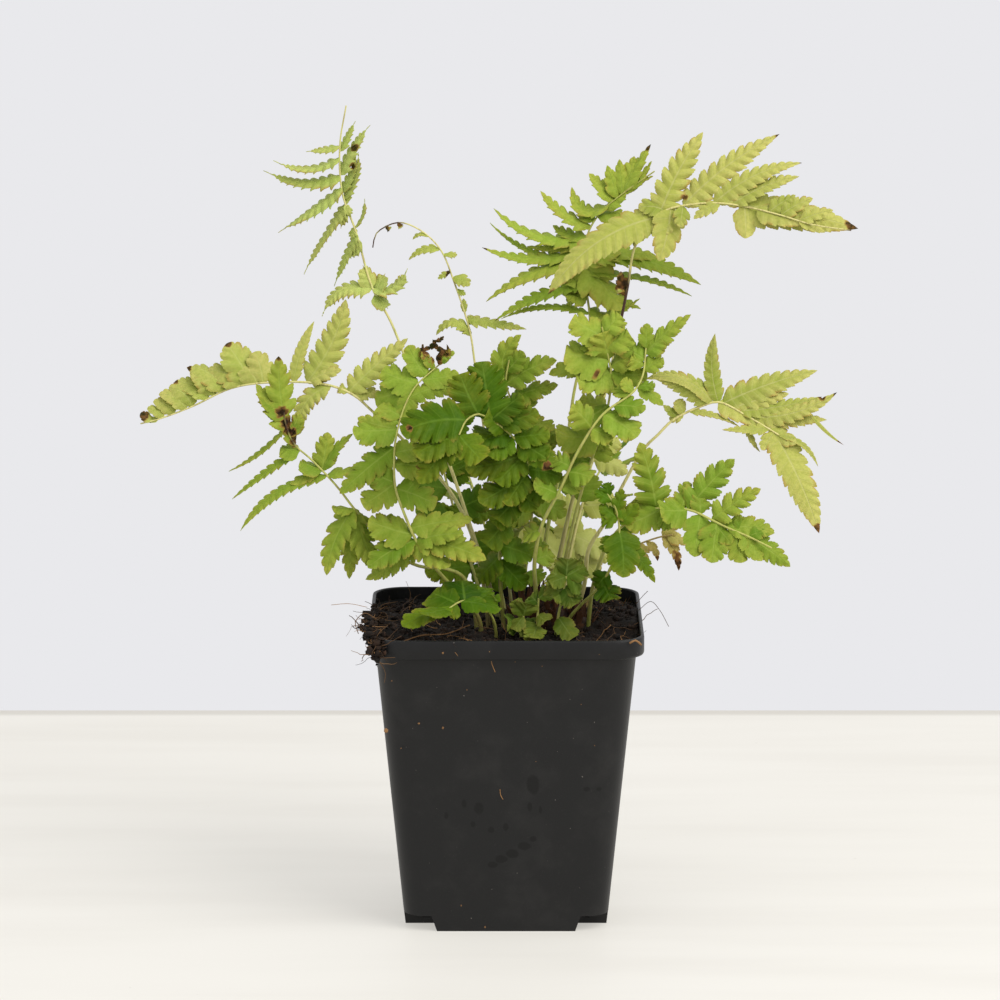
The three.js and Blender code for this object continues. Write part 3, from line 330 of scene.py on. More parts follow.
            (71, 21.5, 169.5, -2, 5.6, -0.5), (58, 28.2, 145.5, -3, 5.4, 0.5), (51, 9, 143.5, -3, 5),
            (98, 51.4, 192, 2, 4.8), (95, 41, 185.8, 3, 4.6), (85, 36.6, 176.3, 3, 4.2),
            (71, 34.9, 158.4, -3, 5), (59, 15.6, 152.2, 2, 4.6), (53, 23.9, 144.9, 2, 4.8),
            (39, 5.7, 126.4, 3, 4.6), (29, 15.6, 120.3, 4, 4.4),
        ),
    ),
    # Painted light: this frond's lighter deep and green colours, high tone and age paint it lighter, where
    # it is lit most
    new_frond(
        "top_green", "fresh", radii=(1.1, 0.4), face=(-0.1, -0.48, 0.87), point=1.7, deep=0x688a1c,
        green=0x9ab440, tone=0.9, pitch=3.7, saw=0.7, age=0.3,
        spots=((47, 256, 2), (-7.7, 222, 1.6), (-4, 198, 1.6)),
        stalk=(
            (8, STALK_FOOT, 13), (9, 98, 15), (14, 130, 20), (20, 158, 24), (22.5, 175, 27), (25, 186, 28),
            (27.5, 197, 29), (26, 212, 31), (26.5, 226, 32), (31, 234, 32), (38, 240, 31),
            (48.5, 247.5, 29),
        ),
        leaflets=(
            (92, 47.2, 256.4, 2, 4.1, 0.4, 0.42), (92, 37, 251.5, 2, 3.4, 0, 0.3),
            (91, 33, 249.5, 2, 3.4, 0, 0.3), (90, 27.1, 246.8, 4, 4.1, 0, 0.3), (96, 47.5, 250.9, 0, 2.2),
            (89, 21.5, 242.4, 4, 4.6, 4.8), (83, 11.2, 241.1, 3, 4.4, 2), (81, -4, 235.3, 2, 5.4, 3.6),
            (80, 6.8, 222.8, 4, 3.8, 1), (79, -7.8, 222.4, 0, 4.4, 3.6), (76, -6.6, 204.5, -2, 5.4, -1.8),
            (72, -3.6, 198.2, -4, 3.9, -2.2), (66, -1.7, 198.7, 4, 2.2, -3), (78, 64, 210, 3, 6.1, 3),
            (74, 61, 206.3, 6, 3.7, 1), (75, 37.7, 201.4, -4, 9, 0.5), (70, 19.3, 206.5, -3, 5.4),
            (94, 48, 246, -2, 2.5), (85, 39.5, 233.2, 0, 4.8, 0.5), (65, 43.8, 205.5, 2, 4.1, -0.8),
            (93, 41.8, 252.5, 3, 4.4), (88, 39.3, 240.7, 2, 4.4), (81, 15.3, 229.8, 4, 4.1, 1),
            (79, 15.3, 215.5, 3, 4.4, -0.5), (76, 37.7, 220.6, 6, 5.6), (73, 19.5, 202.1, 2, 4.1),
            (67, 34.4, 199.5, 2, 4.9), (84, 23.6, 234.8, 4, 3.9), (78, 27.1, 206.4, -2, 10.5, 0, 0.2),
            (76, -5.3, 230.6, 9, 2.4, 4.5), (72, 17.8, 213.5, 3, 5.1), (71, 44.3, 202.1, 2, 5.4, 0.6),
            (76, 50.9, 218.2, 4, 5.6, 1.5),
        ),
    ),
    new_frond(
        "top_yellow", "yellow", radii=(1.1, 0.4), face=(0.15, -0.78, 0.6), point=2.1,
        spots=(
            (114.5, 228, 5), (14.5, 206.5, 2.5), (58.5, 239, 1.4), (89.5, 260.5, 2.6), (97, 251.6, 1.8),
            (64.9, 261.7, 1.6), (38, 211, 4.5), (39, 205.4, 4.2), (38.3, 201.5, 4), (37.6, 198, 3),
        ),
        stalk=(
            (13, STALK_FOOT, 9), (14, 98, 10), (20, 130, 11), (28, 160, 12), (32, 172, 13),
            (34.5, 182, 13), (37.5, 197, 14), (40, 210, 14), (42, 222, 14), (46, 229.5, 13),
            (52, 234.5, 12), (60, 236.5, 11), (70, 237, 9), (80, 235.5, 7), (90, 233, 4), (100, 230, 0),
            (113, 228, -4),
        ),
        leaflets=(
            (71, 64.3, 260.4, 4, 6, 1), (74, 89.2, 259.7, 3, 5.6, 1.5), (79, 96.6, 250.3, 2, 4.4, 2),
            (82, 95.8, 245.8, 2, 3.8, 1), (83, 115.3, 228.6, 1, 7, 1.2, 0.2),
            (89, 105.5, 231.5, 0, 3, 0.5), (85, 98, 230.4, -2, 4.4, 0, 0.2), (92, 104.5, 227.4, -1, 2.4),
            (75, 66.5, 238.9, 0, 2.3), (72, 43.2, 235.4, 2, 4.1, -1),
            (72.5, 50, 217.8, -3, 5.8, 0.6, 0.26), (74, 57, 229, -3, 3.4),
            (80, 61.4, 231.8, -2, 2.8, -0.5), (83.5, 78.3, 225.3, -3, 4.2, 0.3, 0.1),
            (70, 13.8, 206.8, -6, 6.8, -3.6, 0.22), (70, 34.5, 222.3, 3, 4.1, 0.5),
            (60, 37, 206.8, -1, 2.3, -1), (89, 100.4, 238.6, 1, 3.4, 0.5), (92, 107.1, 234.7, 0, 2.8, 0.3),
            (57, 37.7, 214.5, -2, 2.4, 0.4), (87, 94.7, 239.7, 1, 3.4, 0.4), (76, 67.4, 240.7, 1, 3.2),
            (81, 78.1, 239.2, 1, 2.8), (72.5, 51.7, 226.4, -2, 3.8),
        ),
    ),
    new_frond(
        "right_yellow", "yellow", radii=(1.1, 0.5), face=(0.1, -0.82, 0.56), point=2.1,
        spots=((103, 128, 2.6), (104, 172.6, 1.6), (109, 174, 1.6), (111, 157, 2)),
        stalk=(
            (22, STALK_FOOT, 2), (23, 98, 1), (26, 110, -1), (27.5, 122, -3), (33, 131, -5), (38, 142, -6),
            (46, 156, -6), (50, 160, -6), (55, 165, -5), (64, 169.5, -4), (70, 171, -4), (80, 166, -6),
            (90, 160, -9),
        ),
        leaflets=(
            (82, 68.7, 193.9, 2, 3.4, 1.6, 0.3, -0.2), (83, 102.5, 181.6, 3, 5.6, 1, 0.36, 0.2),
            (88, 104, 172.8, 1, 3.4, -1.2), (91, 109, 174.3, -1, 3.8, -3),
            ((101.1, 166.1), 111.4, 156.7, -3, 0.7, -0.8, 0), (100, 103, 149.5, 1, 1.5, 2.4),
            (98, 103.6, 127, -9, 6.4, 1.2, 0.28), (97, 71.3, 161.8, -3, 2.3), (98, 84.3, 155, -3, 3),
            (91, 83.8, 154.4, -1, 1.7, -1.4), (80, 47.6, 179.9, -3, 4.8, -2, 0.26, -0.3),
            (80, 44.9, 178.5, 3, 2.6, -3.6, 0.2, 0.3), (72, 56.5, 172, 0, 2.8, 0, 0.26, -0.3),
            (71, 51.8, 170, 0, 1.8, 0, 0.26, -0.3), (74, 77, 162.8, -3, 1.6, 1),
            (86, 93.2, 173.8, 1, 4.4, 0.6), (89, 105.7, 165.1, 0, 5, 0.4, 0.26),
            (82, 83.9, 163.4, -2, 4.6, 0, 0.24), (97, 95.8, 157, -2, 3.8), (72, 53.8, 165.1, 0, 2.4),
        ),
    ),
    new_frond(
        "right_front", "fresh", radii=(1, 0.5), face=(0.15, -0.86, 0.48), point=2.2, cut=0.45, pitch=3.4,
        tone=0.42,
        stalk=(
            (27, STALK_FOOT, -6), (27.5, 98, -8), (29, 110, -11), (33, 122, -15), (38, 129, -18),
            (46, 134.5, -21), (60, 135, -24), (68, 131.5, -27), (73, 129, -29), (80, 126, -31),
            (88, 122, -33),
        ),
        leaflets=(
            (71, 75.5, 152, 2, 6, 0.5, 0.6, 0.35), (69, 60.3, 144.5, 4, 4.2, 0, 0.5, 0.1),
            (78, 84.2, 142, 0, 5, 0.5, 0.55, 0.4), (84, 88.9, 127.1, 0, 4.8, 1, 0.34),
            (92, 88.8, 128, 0, 2.8, 0.4), (90, 94.2, 115.7, 0, 4.8, 0.6, 0.36),
            (75, 62.4, 119, -5, 5.4, 0, 0.3), (80, 68.1, 117, -6, 6, 0, 0.3),
            (86, 78, 117, -4, 5.4, 0.4, 0.34), (90, 84.9, 117.7, -3, 4, 0, 0.34),
            (61, 44.1, 157.6, 1, 6.8, -0.5, 0.66, -0.1), (71, 51, 135, -5, 6.2, 0.5, 0.36, 0.5),
            (63, 39.3, 129.5, -4, 6, 0.3, 0.34, 0.2), (78, 74.7, 123.4, -5, 4.2),
            (88, 79.3, 132.1, 1, 3.2), (92, 82.9, 122.1, -3, 3), (57, 42, 138.2, 2, 4.2),
            (63, 55.2, 128.8, -4, 4.8), (75, 64.1, 140.9, 3, 3.8), (47, 42, 122.7, 2, 4.6),
        ),
    ),
    new_frond(
        "right_low", "dark", radii=(0.9, 0.5), face=(0.05, -0.85, 0.5), point=2.2, cut=0.45,
        stalk=(
            (20, STALK_FOOT, -12), (20.5, 97, -14), (25, 103, -18), (31, 109, -22), (36, 119, -27),
            (37.5, 128, -28), (36, 136, -28), (33, 141, -27),
        ),
        leaflets=(
            (82, 43.8, 136.8, 0, 3.5), (88, 38.4, 142, 0, 2.8), (94, 29.2, 141.5, 0, 3),
            (97, 33, 144, 0, 2.8), (85, 30.8, 136.5, 0, 3), (79, 38.8, 112, -5, 6.6, 0.6, 0.24),
            (74, 49.4, 110.2, -2, 3.5, 1.4), (50, 34.8, 104.6, -4, 5.4), (76, 33.4, 120, -2, 5),
            (85, 31.4, 132.1, -1, 4.6), (91, 40.6, 134.2, 1, 4.2), (56, 29.7, 108.6, -3, 4.4),
        ),
    ),
    new_frond(
        "withered", "withered", radii=(0.8, 0.45), face=(0, -0.8, 0.6), point=2,
        spots=((56.5, 115.5, 5), (50, 117.5, 2.8)),
        stalk=(
            (24, STALK_FOOT, 9), (24.5, 98, 8), (32, 111, 5), (41, 121.5, 2), (50, 125.5, -1),
            (55, 126.5, -3),
        ),
        leaflets=(
            (93, 57.2, 114.3, -3, 2.5, 1.6), (83, 50.2, 117.6, -1, 1.8, 1), (79, 45.5, 117, 1, 3.4),
            (97, 61.5, 123.8, 0, 3), (93, 56.5, 131, 1, 3.4),
        ),
    ),
    new_frond(
        "front_low", "dark", radii=(0.8, 0.5), face=(0, -0.35, 0.94), point=3.4, slot="frond_fresh",
        pitch=4.6, tone=0.45, age=0.1,
        stalk=((-3, STALK_FOOT, -15), (-4, 97, -19), (-9, 103.5, -27), (-15, 104, -33), (-19, 101.5, -36)),
        # Painted light and shade: the leaflets in front are given high tones and those behind them low
        # ones, so the ones behind are painted darker
        leaflets=(
            (95, -34.5, 95.6, -5, 5.5, -0.5, 0.3, 0.98), (100, -27, 99.5, -9, 4.8, 0, 0.26, 0.9),
            (84, -2, 100.9, -6, 5.4, 0.5, 0.28, 0.6), (89, -24.5, 106.9, 5, 6.6, 0, 0.24, 0.02),
            (79, -14.6, 111.3, 6, 7.4, 0, 0.24, 0), (68, -5.5, 106.8, 2, 5.4, 0, 0.26, 0.15),
            (68, -8.6, 109.1, 5, 5.6, 0, 0.26, 0.1), (89, -19.9, 100.1, -4, 4), (63, -2, 105.7, 0, 3.6),
        ),
    ),
    new_frond(
        "young_left", "young", radii=(0.7, 0.5), face=(0, -0.7, 0.7), point=3.6,
        stalk=((5, STALK_FOOT, -17), (5, 94, -19), (5.8, 99, -22)),
        leaflets=(
            (71, 0.6, 97.5, -3, 4.2), (86, 9, 95.6, -3, 4.2), (100, 7, 103.4, -1, 4.2),
            (86, 9.2, 91.1, -3, 3.4), (100, 3, 104.6, 1, 2.8), (100, 2.4, 94.5, -3, 2.6),
        ),
    ),
    new_frond(
        "young_middle", "young", radii=(0.7, 0.5), face=(0, -0.8, 0.6), point=3.6,
        stalk=((10, STALK_FOOT, -19), (10.3, 96, -21), (10.8, 105, -23)),
        leaflets=(
            (70, 13.2, 97.4, -3, 3.2), (90, 8.2, 106, 0, 3.4), (100, 13.8, 107.6, 0, 3.4),
            (50, 9, 91.6, -5, 4),
        ),
    ),
    new_frond(
        "young_right", "young", radii=(0.8, 0.5), face=(0, -0.8, 0.6), point=3.6,
        stalk=((16, STALK_FOOT, -17), (17, 97, -20), (19, 107, -23), (20, 112.5, -24)),
        leaflets=(
            (93, 15.2, 114.2, 0, 5.2), (100, 25.4, 111.3, -1, 5.4), (100, 20.6, 118.4, 1, 4.8),
            (80, 15.8, 105, -2, 2.6), (80, 22.8, 102.8, -3, 2.9), (47, 22.2, 91.6, -5, 3.8),
            (100, 26.1, 116, 0, 4.6), (87, 22.5, 103.6, -2, 4.2), (80, 13.5, 109.3, 0, 3.6),
            (100, 14.5, 110.2, -2, 3.2), (87, 24.4, 107.9, -1, 3), (100, 23.9, 118, 2, 3),
        ),
    ),
    new_frond(
        "back_pale", "pale", radii=(0.9, 0.5), face=(0, -0.75, 0.66), point=2.8,
        stalk=(
            (19, STALK_FOOT, 14), (19, 98, 16), (21, 118, 22), (26, 140, 30), (29, 152, 34), (33, 158, 36),
        ),
        leaflets=(
            (43, 4.5, 127.5, 2, 6.8), (54, 34, 121, -3, 5.8), (59, 13, 140, 2, 5.5),
            (68, 36.5, 137, -2, 5), (89, 40, 147, -4, 3.8, 0.8), (84, 19, 152, 2, 4.2),
            (95, 37.5, 158, 2, 3.8), (41, 12.9, 123.1, 0, 5.6, 0, 0.2), (49, 30.4, 113, -1, 5.2, 0, 0.2),
            (62, 16.5, 124.8, 0, 5, 0, 0.2), (62, 17.8, 138.2, 1, 4.6), (51, 34.4, 118, 0, 4.6),
            (70, 35.7, 139.5, 1, 4.2), (43, 16.5, 111.3, 0, 4.4),
        ),
    ),
    new_frond(
        "back_left", "dark", radii=(0.9, 0.5), face=(0, -0.75, 0.66), point=2.8, tone=0.65,
        stalk=(
            (-5, STALK_FOOT, 13), (-6, 98, 15), (-12, 118, 22), (-18, 138, 30), (-21, 152, 36),
            (-20, 164, 40),
        ),
        leaflets=(
            (37, -27, 114, -2, 6), (45, 0, 124, -3, 6.2), (58, -30, 135, -3, 6.2), (62, -6, 140, -3, 6.2),
            (73, -32, 144, -3, 6), (77, -9, 152, -3, 5.7), (87, -31, 168, 2, 5.5), (95, -12, 170, 2, 5.5),
            (45, -14.6, 118, 3, 5.6), (65, -5.3, 133.2, 2, 5.2), (80, -10.3, 153.3, 1, 5),
            (37, 0.6, 109.3, -2, 4.8), (55, -15.9, 136.5, 2, 5), (90, -26.8, 150, 1, 5),
        ),
    ),
    new_frond(
        "far_left", "fresh", radii=(0.9, 0.5), face=(0, 0.5, 0.86), point=2.6,
        stalk=(
            (1, STALK_FOOT, 21), (0, 98, 25), (-4, 118, 42), (-9, 136, 58), (-14, 150, 74), (-20, 158, 90),
        ),
        leaflets=(
            (42, -22, 126, 5, 6.2), (48, 10, 131, 5, 6.2), (60, -25, 143, 6, 6), (65, 4, 146, 6, 6),
            (79, -28, 158, 8, 5.5), (83, -3, 160, 8, 5.5), (98, -27, 166, 10, 4.4),
            (44, 6.3, 129.8, 5, 5.2), (35, -5.3, 114, 4, 5.2), (60, -0.3, 140.9, 6, 5),
            (71, -16.9, 148.3, 8, 5), (83, -5.3, 156.7, 8, 4.8),
        ),
    ),
    new_frond(
        "far_right", "fresh", radii=(0.9, 0.5), face=(0, 0.5, 0.86), point=2.6,
        stalk=(
            (13, STALK_FOOT, 20), (14, 98, 24), (20, 118, 40), (26, 136, 54), (31, 148, 68), (38, 156, 82),
        ),
        leaflets=(
            (43, 36, 122, 5, 6.2), (48, 8, 132, 5, 6.2), (63, 42, 140, 6, 6), (67, 13, 148, 6, 6),
            (83, 45, 154, 8, 5.5), (85, 21, 161, 8, 5.5), (98, 44, 164, 10, 4.4),
            (46, 10.6, 128.8, 5, 5.2), (35, 22.8, 113, 4, 5.2), (63, 31.7, 134.2, 6, 5),
            (76, 21.1, 149, 8, 5), (85, 36, 155, 8, 4.6),
        ),
    ),
)


# Geometry helpers


def place(across, up, back):
    """The true position of a stated place."""
    stretch = 1 - back / EYE.y
    return Vector((EYE.x + (across - EYE.x) * stretch, back, EYE.z + (up - EYE.z) * stretch))


def shown_at(point):
    """Where a point shows on the upright plane, as across and up."""
    stretch = 1 - point.y / EYE.y
    return Vector((EYE.x + (point.x - EYE.x) / stretch, EYE.z + (point.z - EYE.z) / stretch))


def lerp(start, end, share):
    return start + (end - start) * share


def smooth_step(low, high, value):
    share = min(1, max(0, (value - low) / (high - low)))
    return share * share * (3 - 2 * share)


def spline_through(points, step):
    """Points about a step apart on the centripetal spline through the given points."""
    ends = [2 * points[0] - points[1], *points, 2 * points[-1] - points[-2]]
    line = []
    for before, start, end, after in zip(ends, ends[1:], ends[2:], ends[3:]):
        knots = [math.sqrt((b - a).length) for a, b in ((before, start), (start, end), (end, after))]
        enter, middle, leave = knots
        into = (start - before) / enter - (end - before) / (enter + middle) + (end - start) / middle
        out = (end - start) / middle - (after - start) / (middle + leave) + (after - end) / leave
        into *= middle
        out *= middle
        pieces = max(1, round((end - start).length / step))
        for piece in range(pieces):
            t = piece / pieces
            line.append(
                start + into * t
                + (3 * (end - start) - 2 * into - out) * t**2
                + (2 * (start - end) + into + out) * t**3
            )
    line.append(points[-1].copy())
    return line


class Bow:
    """The curved middle line of a leaflet, from its root through a bent middle to its tip."""

    def __init__(self, root, middle, tip):
        self.root, self.middle, self.tip = root, middle, tip
        self.length = sum((self.point(i / 8) - self.point((i + 1) / 8)).length for i in range(8))

    def point(self, t):
        return self.root * (1 - t)**2 + self.middle * (2 * t * (1 - t)) + self.tip * t**2

    def tangent(self, t):
        return ((self.middle - self.root) * (1 - t) + (self.tip - self.middle) * t).normalized()


def add_tube(mesh, centres, radii, sides, mark):
    """A closed bar along a row of centres: a grid rolled round them, with both ends drawn to a point.
    Each of its points is marked, by how far along it lies."""
    centres = [centres[0], *centres, centres[-1]]
    radii = [0, *radii, 0]
    last = len(centres) - 1
    sideways = []
    side = (centres[2] - centres[1]).orthogonal().normalized()
    for i in range(last + 1):
        ahead = (centres[min(last, i + 1)] - centres[max(0, i - 1)]).normalized()
        side = (side - ahead * side.dot(ahead)).normalized()
        sideways.append((side.copy(), ahead.cross(side)))
    grid = bmesh.ops.create_grid(mesh, x_segments=last, y_segments=sides, size=0.5)
    for vert in grid["verts"]:
        ring = round((vert.co.x + 0.5) * last)
        turn = (vert.co.y + 0.5) * math.tau
        one, other = sideways[ring]
        vert.co = centres[ring] + (one * math.cos(turn) + other * math.sin(turn)) * radii[ring]
        mark(vert, ring / last)
    bmesh.ops.remove_doubles(mesh, verts=grid["verts"], dist=MERGE)


def even(layer, value):
    """A mark that is the same all along a bar."""
    def mark(vert, _):
        vert[layer] = value
    return mark


def drawn_verts(made):
    """The points among what an extrusion made."""
    return [item for item in made["geom"] if isinstance(item, bmesh.types.BMVert)]


def scatter(chance, *spreads):
    """A chance vector with a spread for each of its axes."""
    return Vector([chance.gauss(0, spread) for spread in spreads])


def add_object(name, data):
    """Puts a new object with the given data into the scene."""
    thing = bpy.data.objects.new(name, data)
    bpy.context.scene.collection.objects.link(thing)
    return thing


def add_mesh_object(name, mesh, scale=1):
    """Writes a mesh as a new object, at a scale, and lets the mesh go."""
    if scale != 1:
        bmesh.ops.scale(mesh, vec=(scale, scale, scale), verts=mesh.verts)
    data = bpy.data.meshes.new(name)
    mesh.to_mesh(data)
    mesh.free()
    return add_object(name, data)


def new_piece(name, mesh, materials, slot, *nodes, crease=40):
    """Writes a mesh that is in millimetres as a piece of the part that rides on the pot."""
    piece = add_mesh_object(name, mesh, MM)
    piece.data.shade_smooth()
    piece.data.set_sharp_from_angle(angle=math.radians(crease))
    for material in materials:
        piece.data.materials.append(material)
    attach(piece, "root")
    if nodes:
        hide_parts(*nodes)
    return piece


# Materials


def linear(code):
    """A colour written as 0xRRGGBB, as the light values that shaders use."""
    parts = [(code >> shift & 255) / 255 for shift in (16, 8, 0)]
    return (*[p / 12.92 if p <= 0.04045 else ((p + 0.055) / 1.055)**2.4 for p in parts], 1)


class Value:
    """A shader socket, so that maths on it reads as Python."""

    def __init__(self, paint, socket):
        self.paint, self.socket = paint, socket

    def maths(self, operation, *operands):
        return self.paint.node("ShaderNodeMath", {"operation": operation}, dict(enumerate(operands)))

    def __add__(self, other):
        return self.maths("ADD", self, other)

    def __sub__(self, other):
        return self.maths("SUBTRACT", self, other)

    def __rsub__(self, other):
        return self.maths("SUBTRACT", other, self)

    def __mul__(self, other):
        return self.maths("MULTIPLY", self, other)

    def __pow__(self, other):
        return self.maths("POWER", self, other)

    __radd__ = __add__
    __rmul__ = __mul__

    def size(self):
        return self.maths("ABSOLUTE", self)

    def fraction(self):
        return self.maths("FRACT", self)

    def most(self, other):
        return self.maths("MAXIMUM", self, other)

    def ramp(self, low, high, start=0, end=1):
        """Runs smoothly from start to end as the value goes from low to high."""
        limits = {"Value": self, "From Min": low, "From Max": high, "To Min": start, "To Max": end}
        return self.paint.node("ShaderNodeMapRange", {"interpolation_type": "SMOOTHSTEP"}, limits)


class Paint:
    """One material, built up node by node."""

    def __init__(self, name):
        self.material = bpy.data.materials.new(name)
        self.material.use_nodes = True
        self.tree = self.material.node_tree
        self.tree.nodes.clear()
        self.place = self.node("ShaderNodeTexCoord", output="Object")

    def node(self, kind, settings=None, inputs=None, output=0):
        node = self.tree.nodes.new(kind)
        for setting, value in (settings or {}).items():
            setattr(node, setting, value)
        for name, value in (inputs or {}).items():
            if isinstance(value, Value):
                self.tree.links.new(value.socket, node.inputs[name])
            else:
                node.inputs[name].default_value = value
        return Value(self, node.outputs[output])

    def attribute(self, name):
        return self.node("ShaderNodeAttribute", {"attribute_name": name}, output="Fac")

    def axis(self, name):
        return self.node("ShaderNodeSeparateXYZ", inputs={"Vector": self.place}, output=name)

    def noise(self, size, detail=2, stretch=None, rough=0.5):
        """Noise whose features are about a size in millimetres across."""
        place = self.place
        if stretch:
            place = self.node("ShaderNodeMapping", inputs={"Vector": place, "Scale": stretch})
        return self.node(
            "ShaderNodeTexNoise",
            inputs={"Vector": place, "Scale": 1 / (size * MM), "Detail": detail, "Roughness": rough},
        )

    def mix(self, share, start, end):
        """A colour between two, each written as 0xRRGGBB or itself a mix."""
        start, end = (linear(side) if isinstance(side, int) else side for side in (start, end))
        colours = {0: share, 6: start, 7: end}
        return self.node("ShaderNodeMix", {"data_type": "RGBA"}, colours, output=2)

    def surface(self, colour, roughness, shine, height, depth, **more):
        """A skin whose relief is a depth in millimetres from low to high."""
        bump = {"Height": height, "Distance": depth * MM, "Strength": 1}
        inputs = {
            "Base Color": colour, "Roughness": roughness, "Specular IOR Level": shine,
            "Normal": self.node("ShaderNodeBump", inputs=bump),
            **{name.replace("_", " "): value for name, value in more.items()},
        }
        return self.node("ShaderNodeBsdfPrincipled", inputs=inputs)

    def finish(self, shader):
        output = self.tree.nodes.new("ShaderNodeOutputMaterial")
        self.tree.links.new(shader.socket, output.inputs["Surface"])
        return self.material


def plastic_paint():
    """Black satin plastic with a bloom of dust, pale flecks and water stains, with painted shade on its
    rim band.
    """
    paint = Paint("black_plastic")
    x, y, z = paint.axis("X"), paint.axis("Y"), paint.axis("Z")
    front = y.ramp(-30 * MM, -32 * MM)
    cloud = paint.noise(14, detail=4, rough=0.6)
    grain = paint.noise(0.5)
    dust = cloud.ramp(0.45, 0.75) * 0.5 + grain.ramp(0.62, 0.72) * 0.35
    ragged = paint.noise(2.2, detail=3) * 1.3
    stain = None
    for across, up, half_width, half_height in WET_STAINS:
        point = front_point(across, up)
        reach = ((x - point.x * MM) * (1 / (half_width * MM)))**2
        rise = ((z - point.z * MM) * (1 / (half_height * MM)))**2
        spot = (reach + rise + ragged).ramp(1.9, 1.2)
        stain = spot if stain is None else stain.most(spot)
    stain = stain * front
    colour = paint.mix(dust, 0x141414, 0x252423)
    colour = paint.mix(stain * 0.85, colour, 0x070707)
    fleck = paint.noise(1.1, detail=1).ramp(0.79, 0.82) * 0.6
    colour = paint.mix(fleck, colour, 0x77716a)
    # Painted shade: the rim band above the shoulder is painted darker
    rim_foot = POT_SHOULDER_HEIGHT * MM
    colour = paint.mix(z.ramp(rim_foot - MM, rim_foot) * 0.3, colour, 0x070707)
    height = paint.noise(0.7, detail=3) * 0.6 + paint.noise(6, detail=1) * 0.4
    return paint.finish(paint.surface(colour, dust * 0.15 + 0.42 - stain * 0.12, 0.26, height, 0.06))


def peat_paint(name, dark, light, depth):
    """Moist peat between two tones, with paler fibres, and relief as deep as given."""
    paint = Paint(name)
    clods = paint.noise(4, detail=6, rough=0.65)
    fine = paint.noise(0.8, detail=4, rough=0.7)
    fibre = paint.noise(1.6, detail=3, stretch=(1, 0.2, 0.5))
    colour = paint.mix(clods.ramp(0.35, 0.7), dark, light)
    colour = paint.mix(fibre.ramp(0.62, 0.72) * 0.45, colour, 0x4a3222)
    height = clods * 0.5 + fine * 0.5
    return paint.finish(paint.surface(colour, fine.ramp(0.3, 0.7, 0.75, 1), 0.25, height, depth))


def fibre_paint():
    """Dead root and plant fibre, from dark to pale by its tone."""
    paint = Paint("peat_fibre")
    tone = paint.attribute("tone")
    colour = paint.mix(tone, 0x20140d, 0x9c7449)
    colour = paint.mix(paint.noise(2, detail=3) * 0.4, colour, 0x2a1b11)
    return paint.finish(paint.surface(colour, 0.8, 0.3, paint.noise(0.4), 0.05))


def rootstock_paint():
    """Streaky bark, nearly black brown, partly its own dark brown and partly painted shade under the
    fronds, paler on its scales.
    """
    paint = Paint("rootstock")
    tone = paint.attribute("tone")
    streak = paint.noise(1.2, detail=4, stretch=(1, 1, 0.25))
    # Nearly black brown: partly the rootstock's own colour, partly painted shade under the fronds
    colour = paint.mix(streak.ramp(0.3, 0.7), 0x160d08, 0x38220f)
    colour = paint.mix(tone * 0.45, colour, 0x7a4c2a)
    return paint.finish(paint.surface(colour, streak.ramp(0.3, 0.7, 0.65, 0.9), 0.3, streak, 0.3))


def blade_paint(frond):
    """A leaf blade with paler veins, an older rim, withered places and light coming through."""
    paint = Paint(frond["name"] + "_blade")
    across, lobe = paint.attribute("across"), paint.attribute("lobe")
    age, brown = paint.attribute("age"), paint.attribute("brown")
    tone, under = paint.attribute("tone"), paint.attribute("under")
    patch = paint.noise(5, detail=3)
    fine = paint.noise(0.9, detail=3, rough=0.6)
    rib = across.size().ramp(0.10, 0.02)
    branch = (lobe.fraction() - 0.62).size().ramp(0.07, 0.0)
    twig = ((lobe * 3).fraction() - 0.5).size().ramp(0.16, 0.02) * across.size().ramp(0.2, 0.6)
    veins = rib.most(branch * 0.6).most(twig * 0.3)
    ripe = (age + (patch - 0.5) * 0.5).ramp(0, 1)
    colour = paint.mix(tone, frond["deep"], frond["green"])
    colour = paint.mix(ripe, colour, frond["ripe"])
    colour = paint.mix(fine.ramp(0.35, 0.7) * 0.32, colour, frond["deep"])
    colour = paint.mix(veins * 0.42, colour, frond["vein"])
    colour = paint.mix(under * 0.25, colour, 0x93a458)
    rim = across.size().ramp(0.72, 1.0) * patch.ramp(0.45, 0.65) * frond["rim"]
    blotch = paint.noise(1.8, detail=3)
    worn = brown + (blotch - 0.5) * brown.ramp(0, 0.3)
    dead = paint.mix(blotch.ramp(0.42, 0.66), 0x28180d, 0x704a2a)
    colour = paint.mix(rim, colour, 0xa5803f)
    colour = paint.mix(worn.ramp(0.1, 0.5) * 0.8, colour, 0x9a6f38)
    colour = paint.mix(worn.ramp(0.4, 0.85), colour, dead)
    height = fine * 0.35 - veins * 0.65
    skin = paint.surface(colour, fine.ramp(0.3, 0.7, 0.45, 0.6), 0.1, height, 0.14)
    glow = paint.node("ShaderNodeBsdfTranslucent", inputs={"Color": linear(frond["glow"])})
    return paint.finish(paint.node("ShaderNodeMixShader", inputs={0: frond["thin"], 1: skin, 2: glow}))


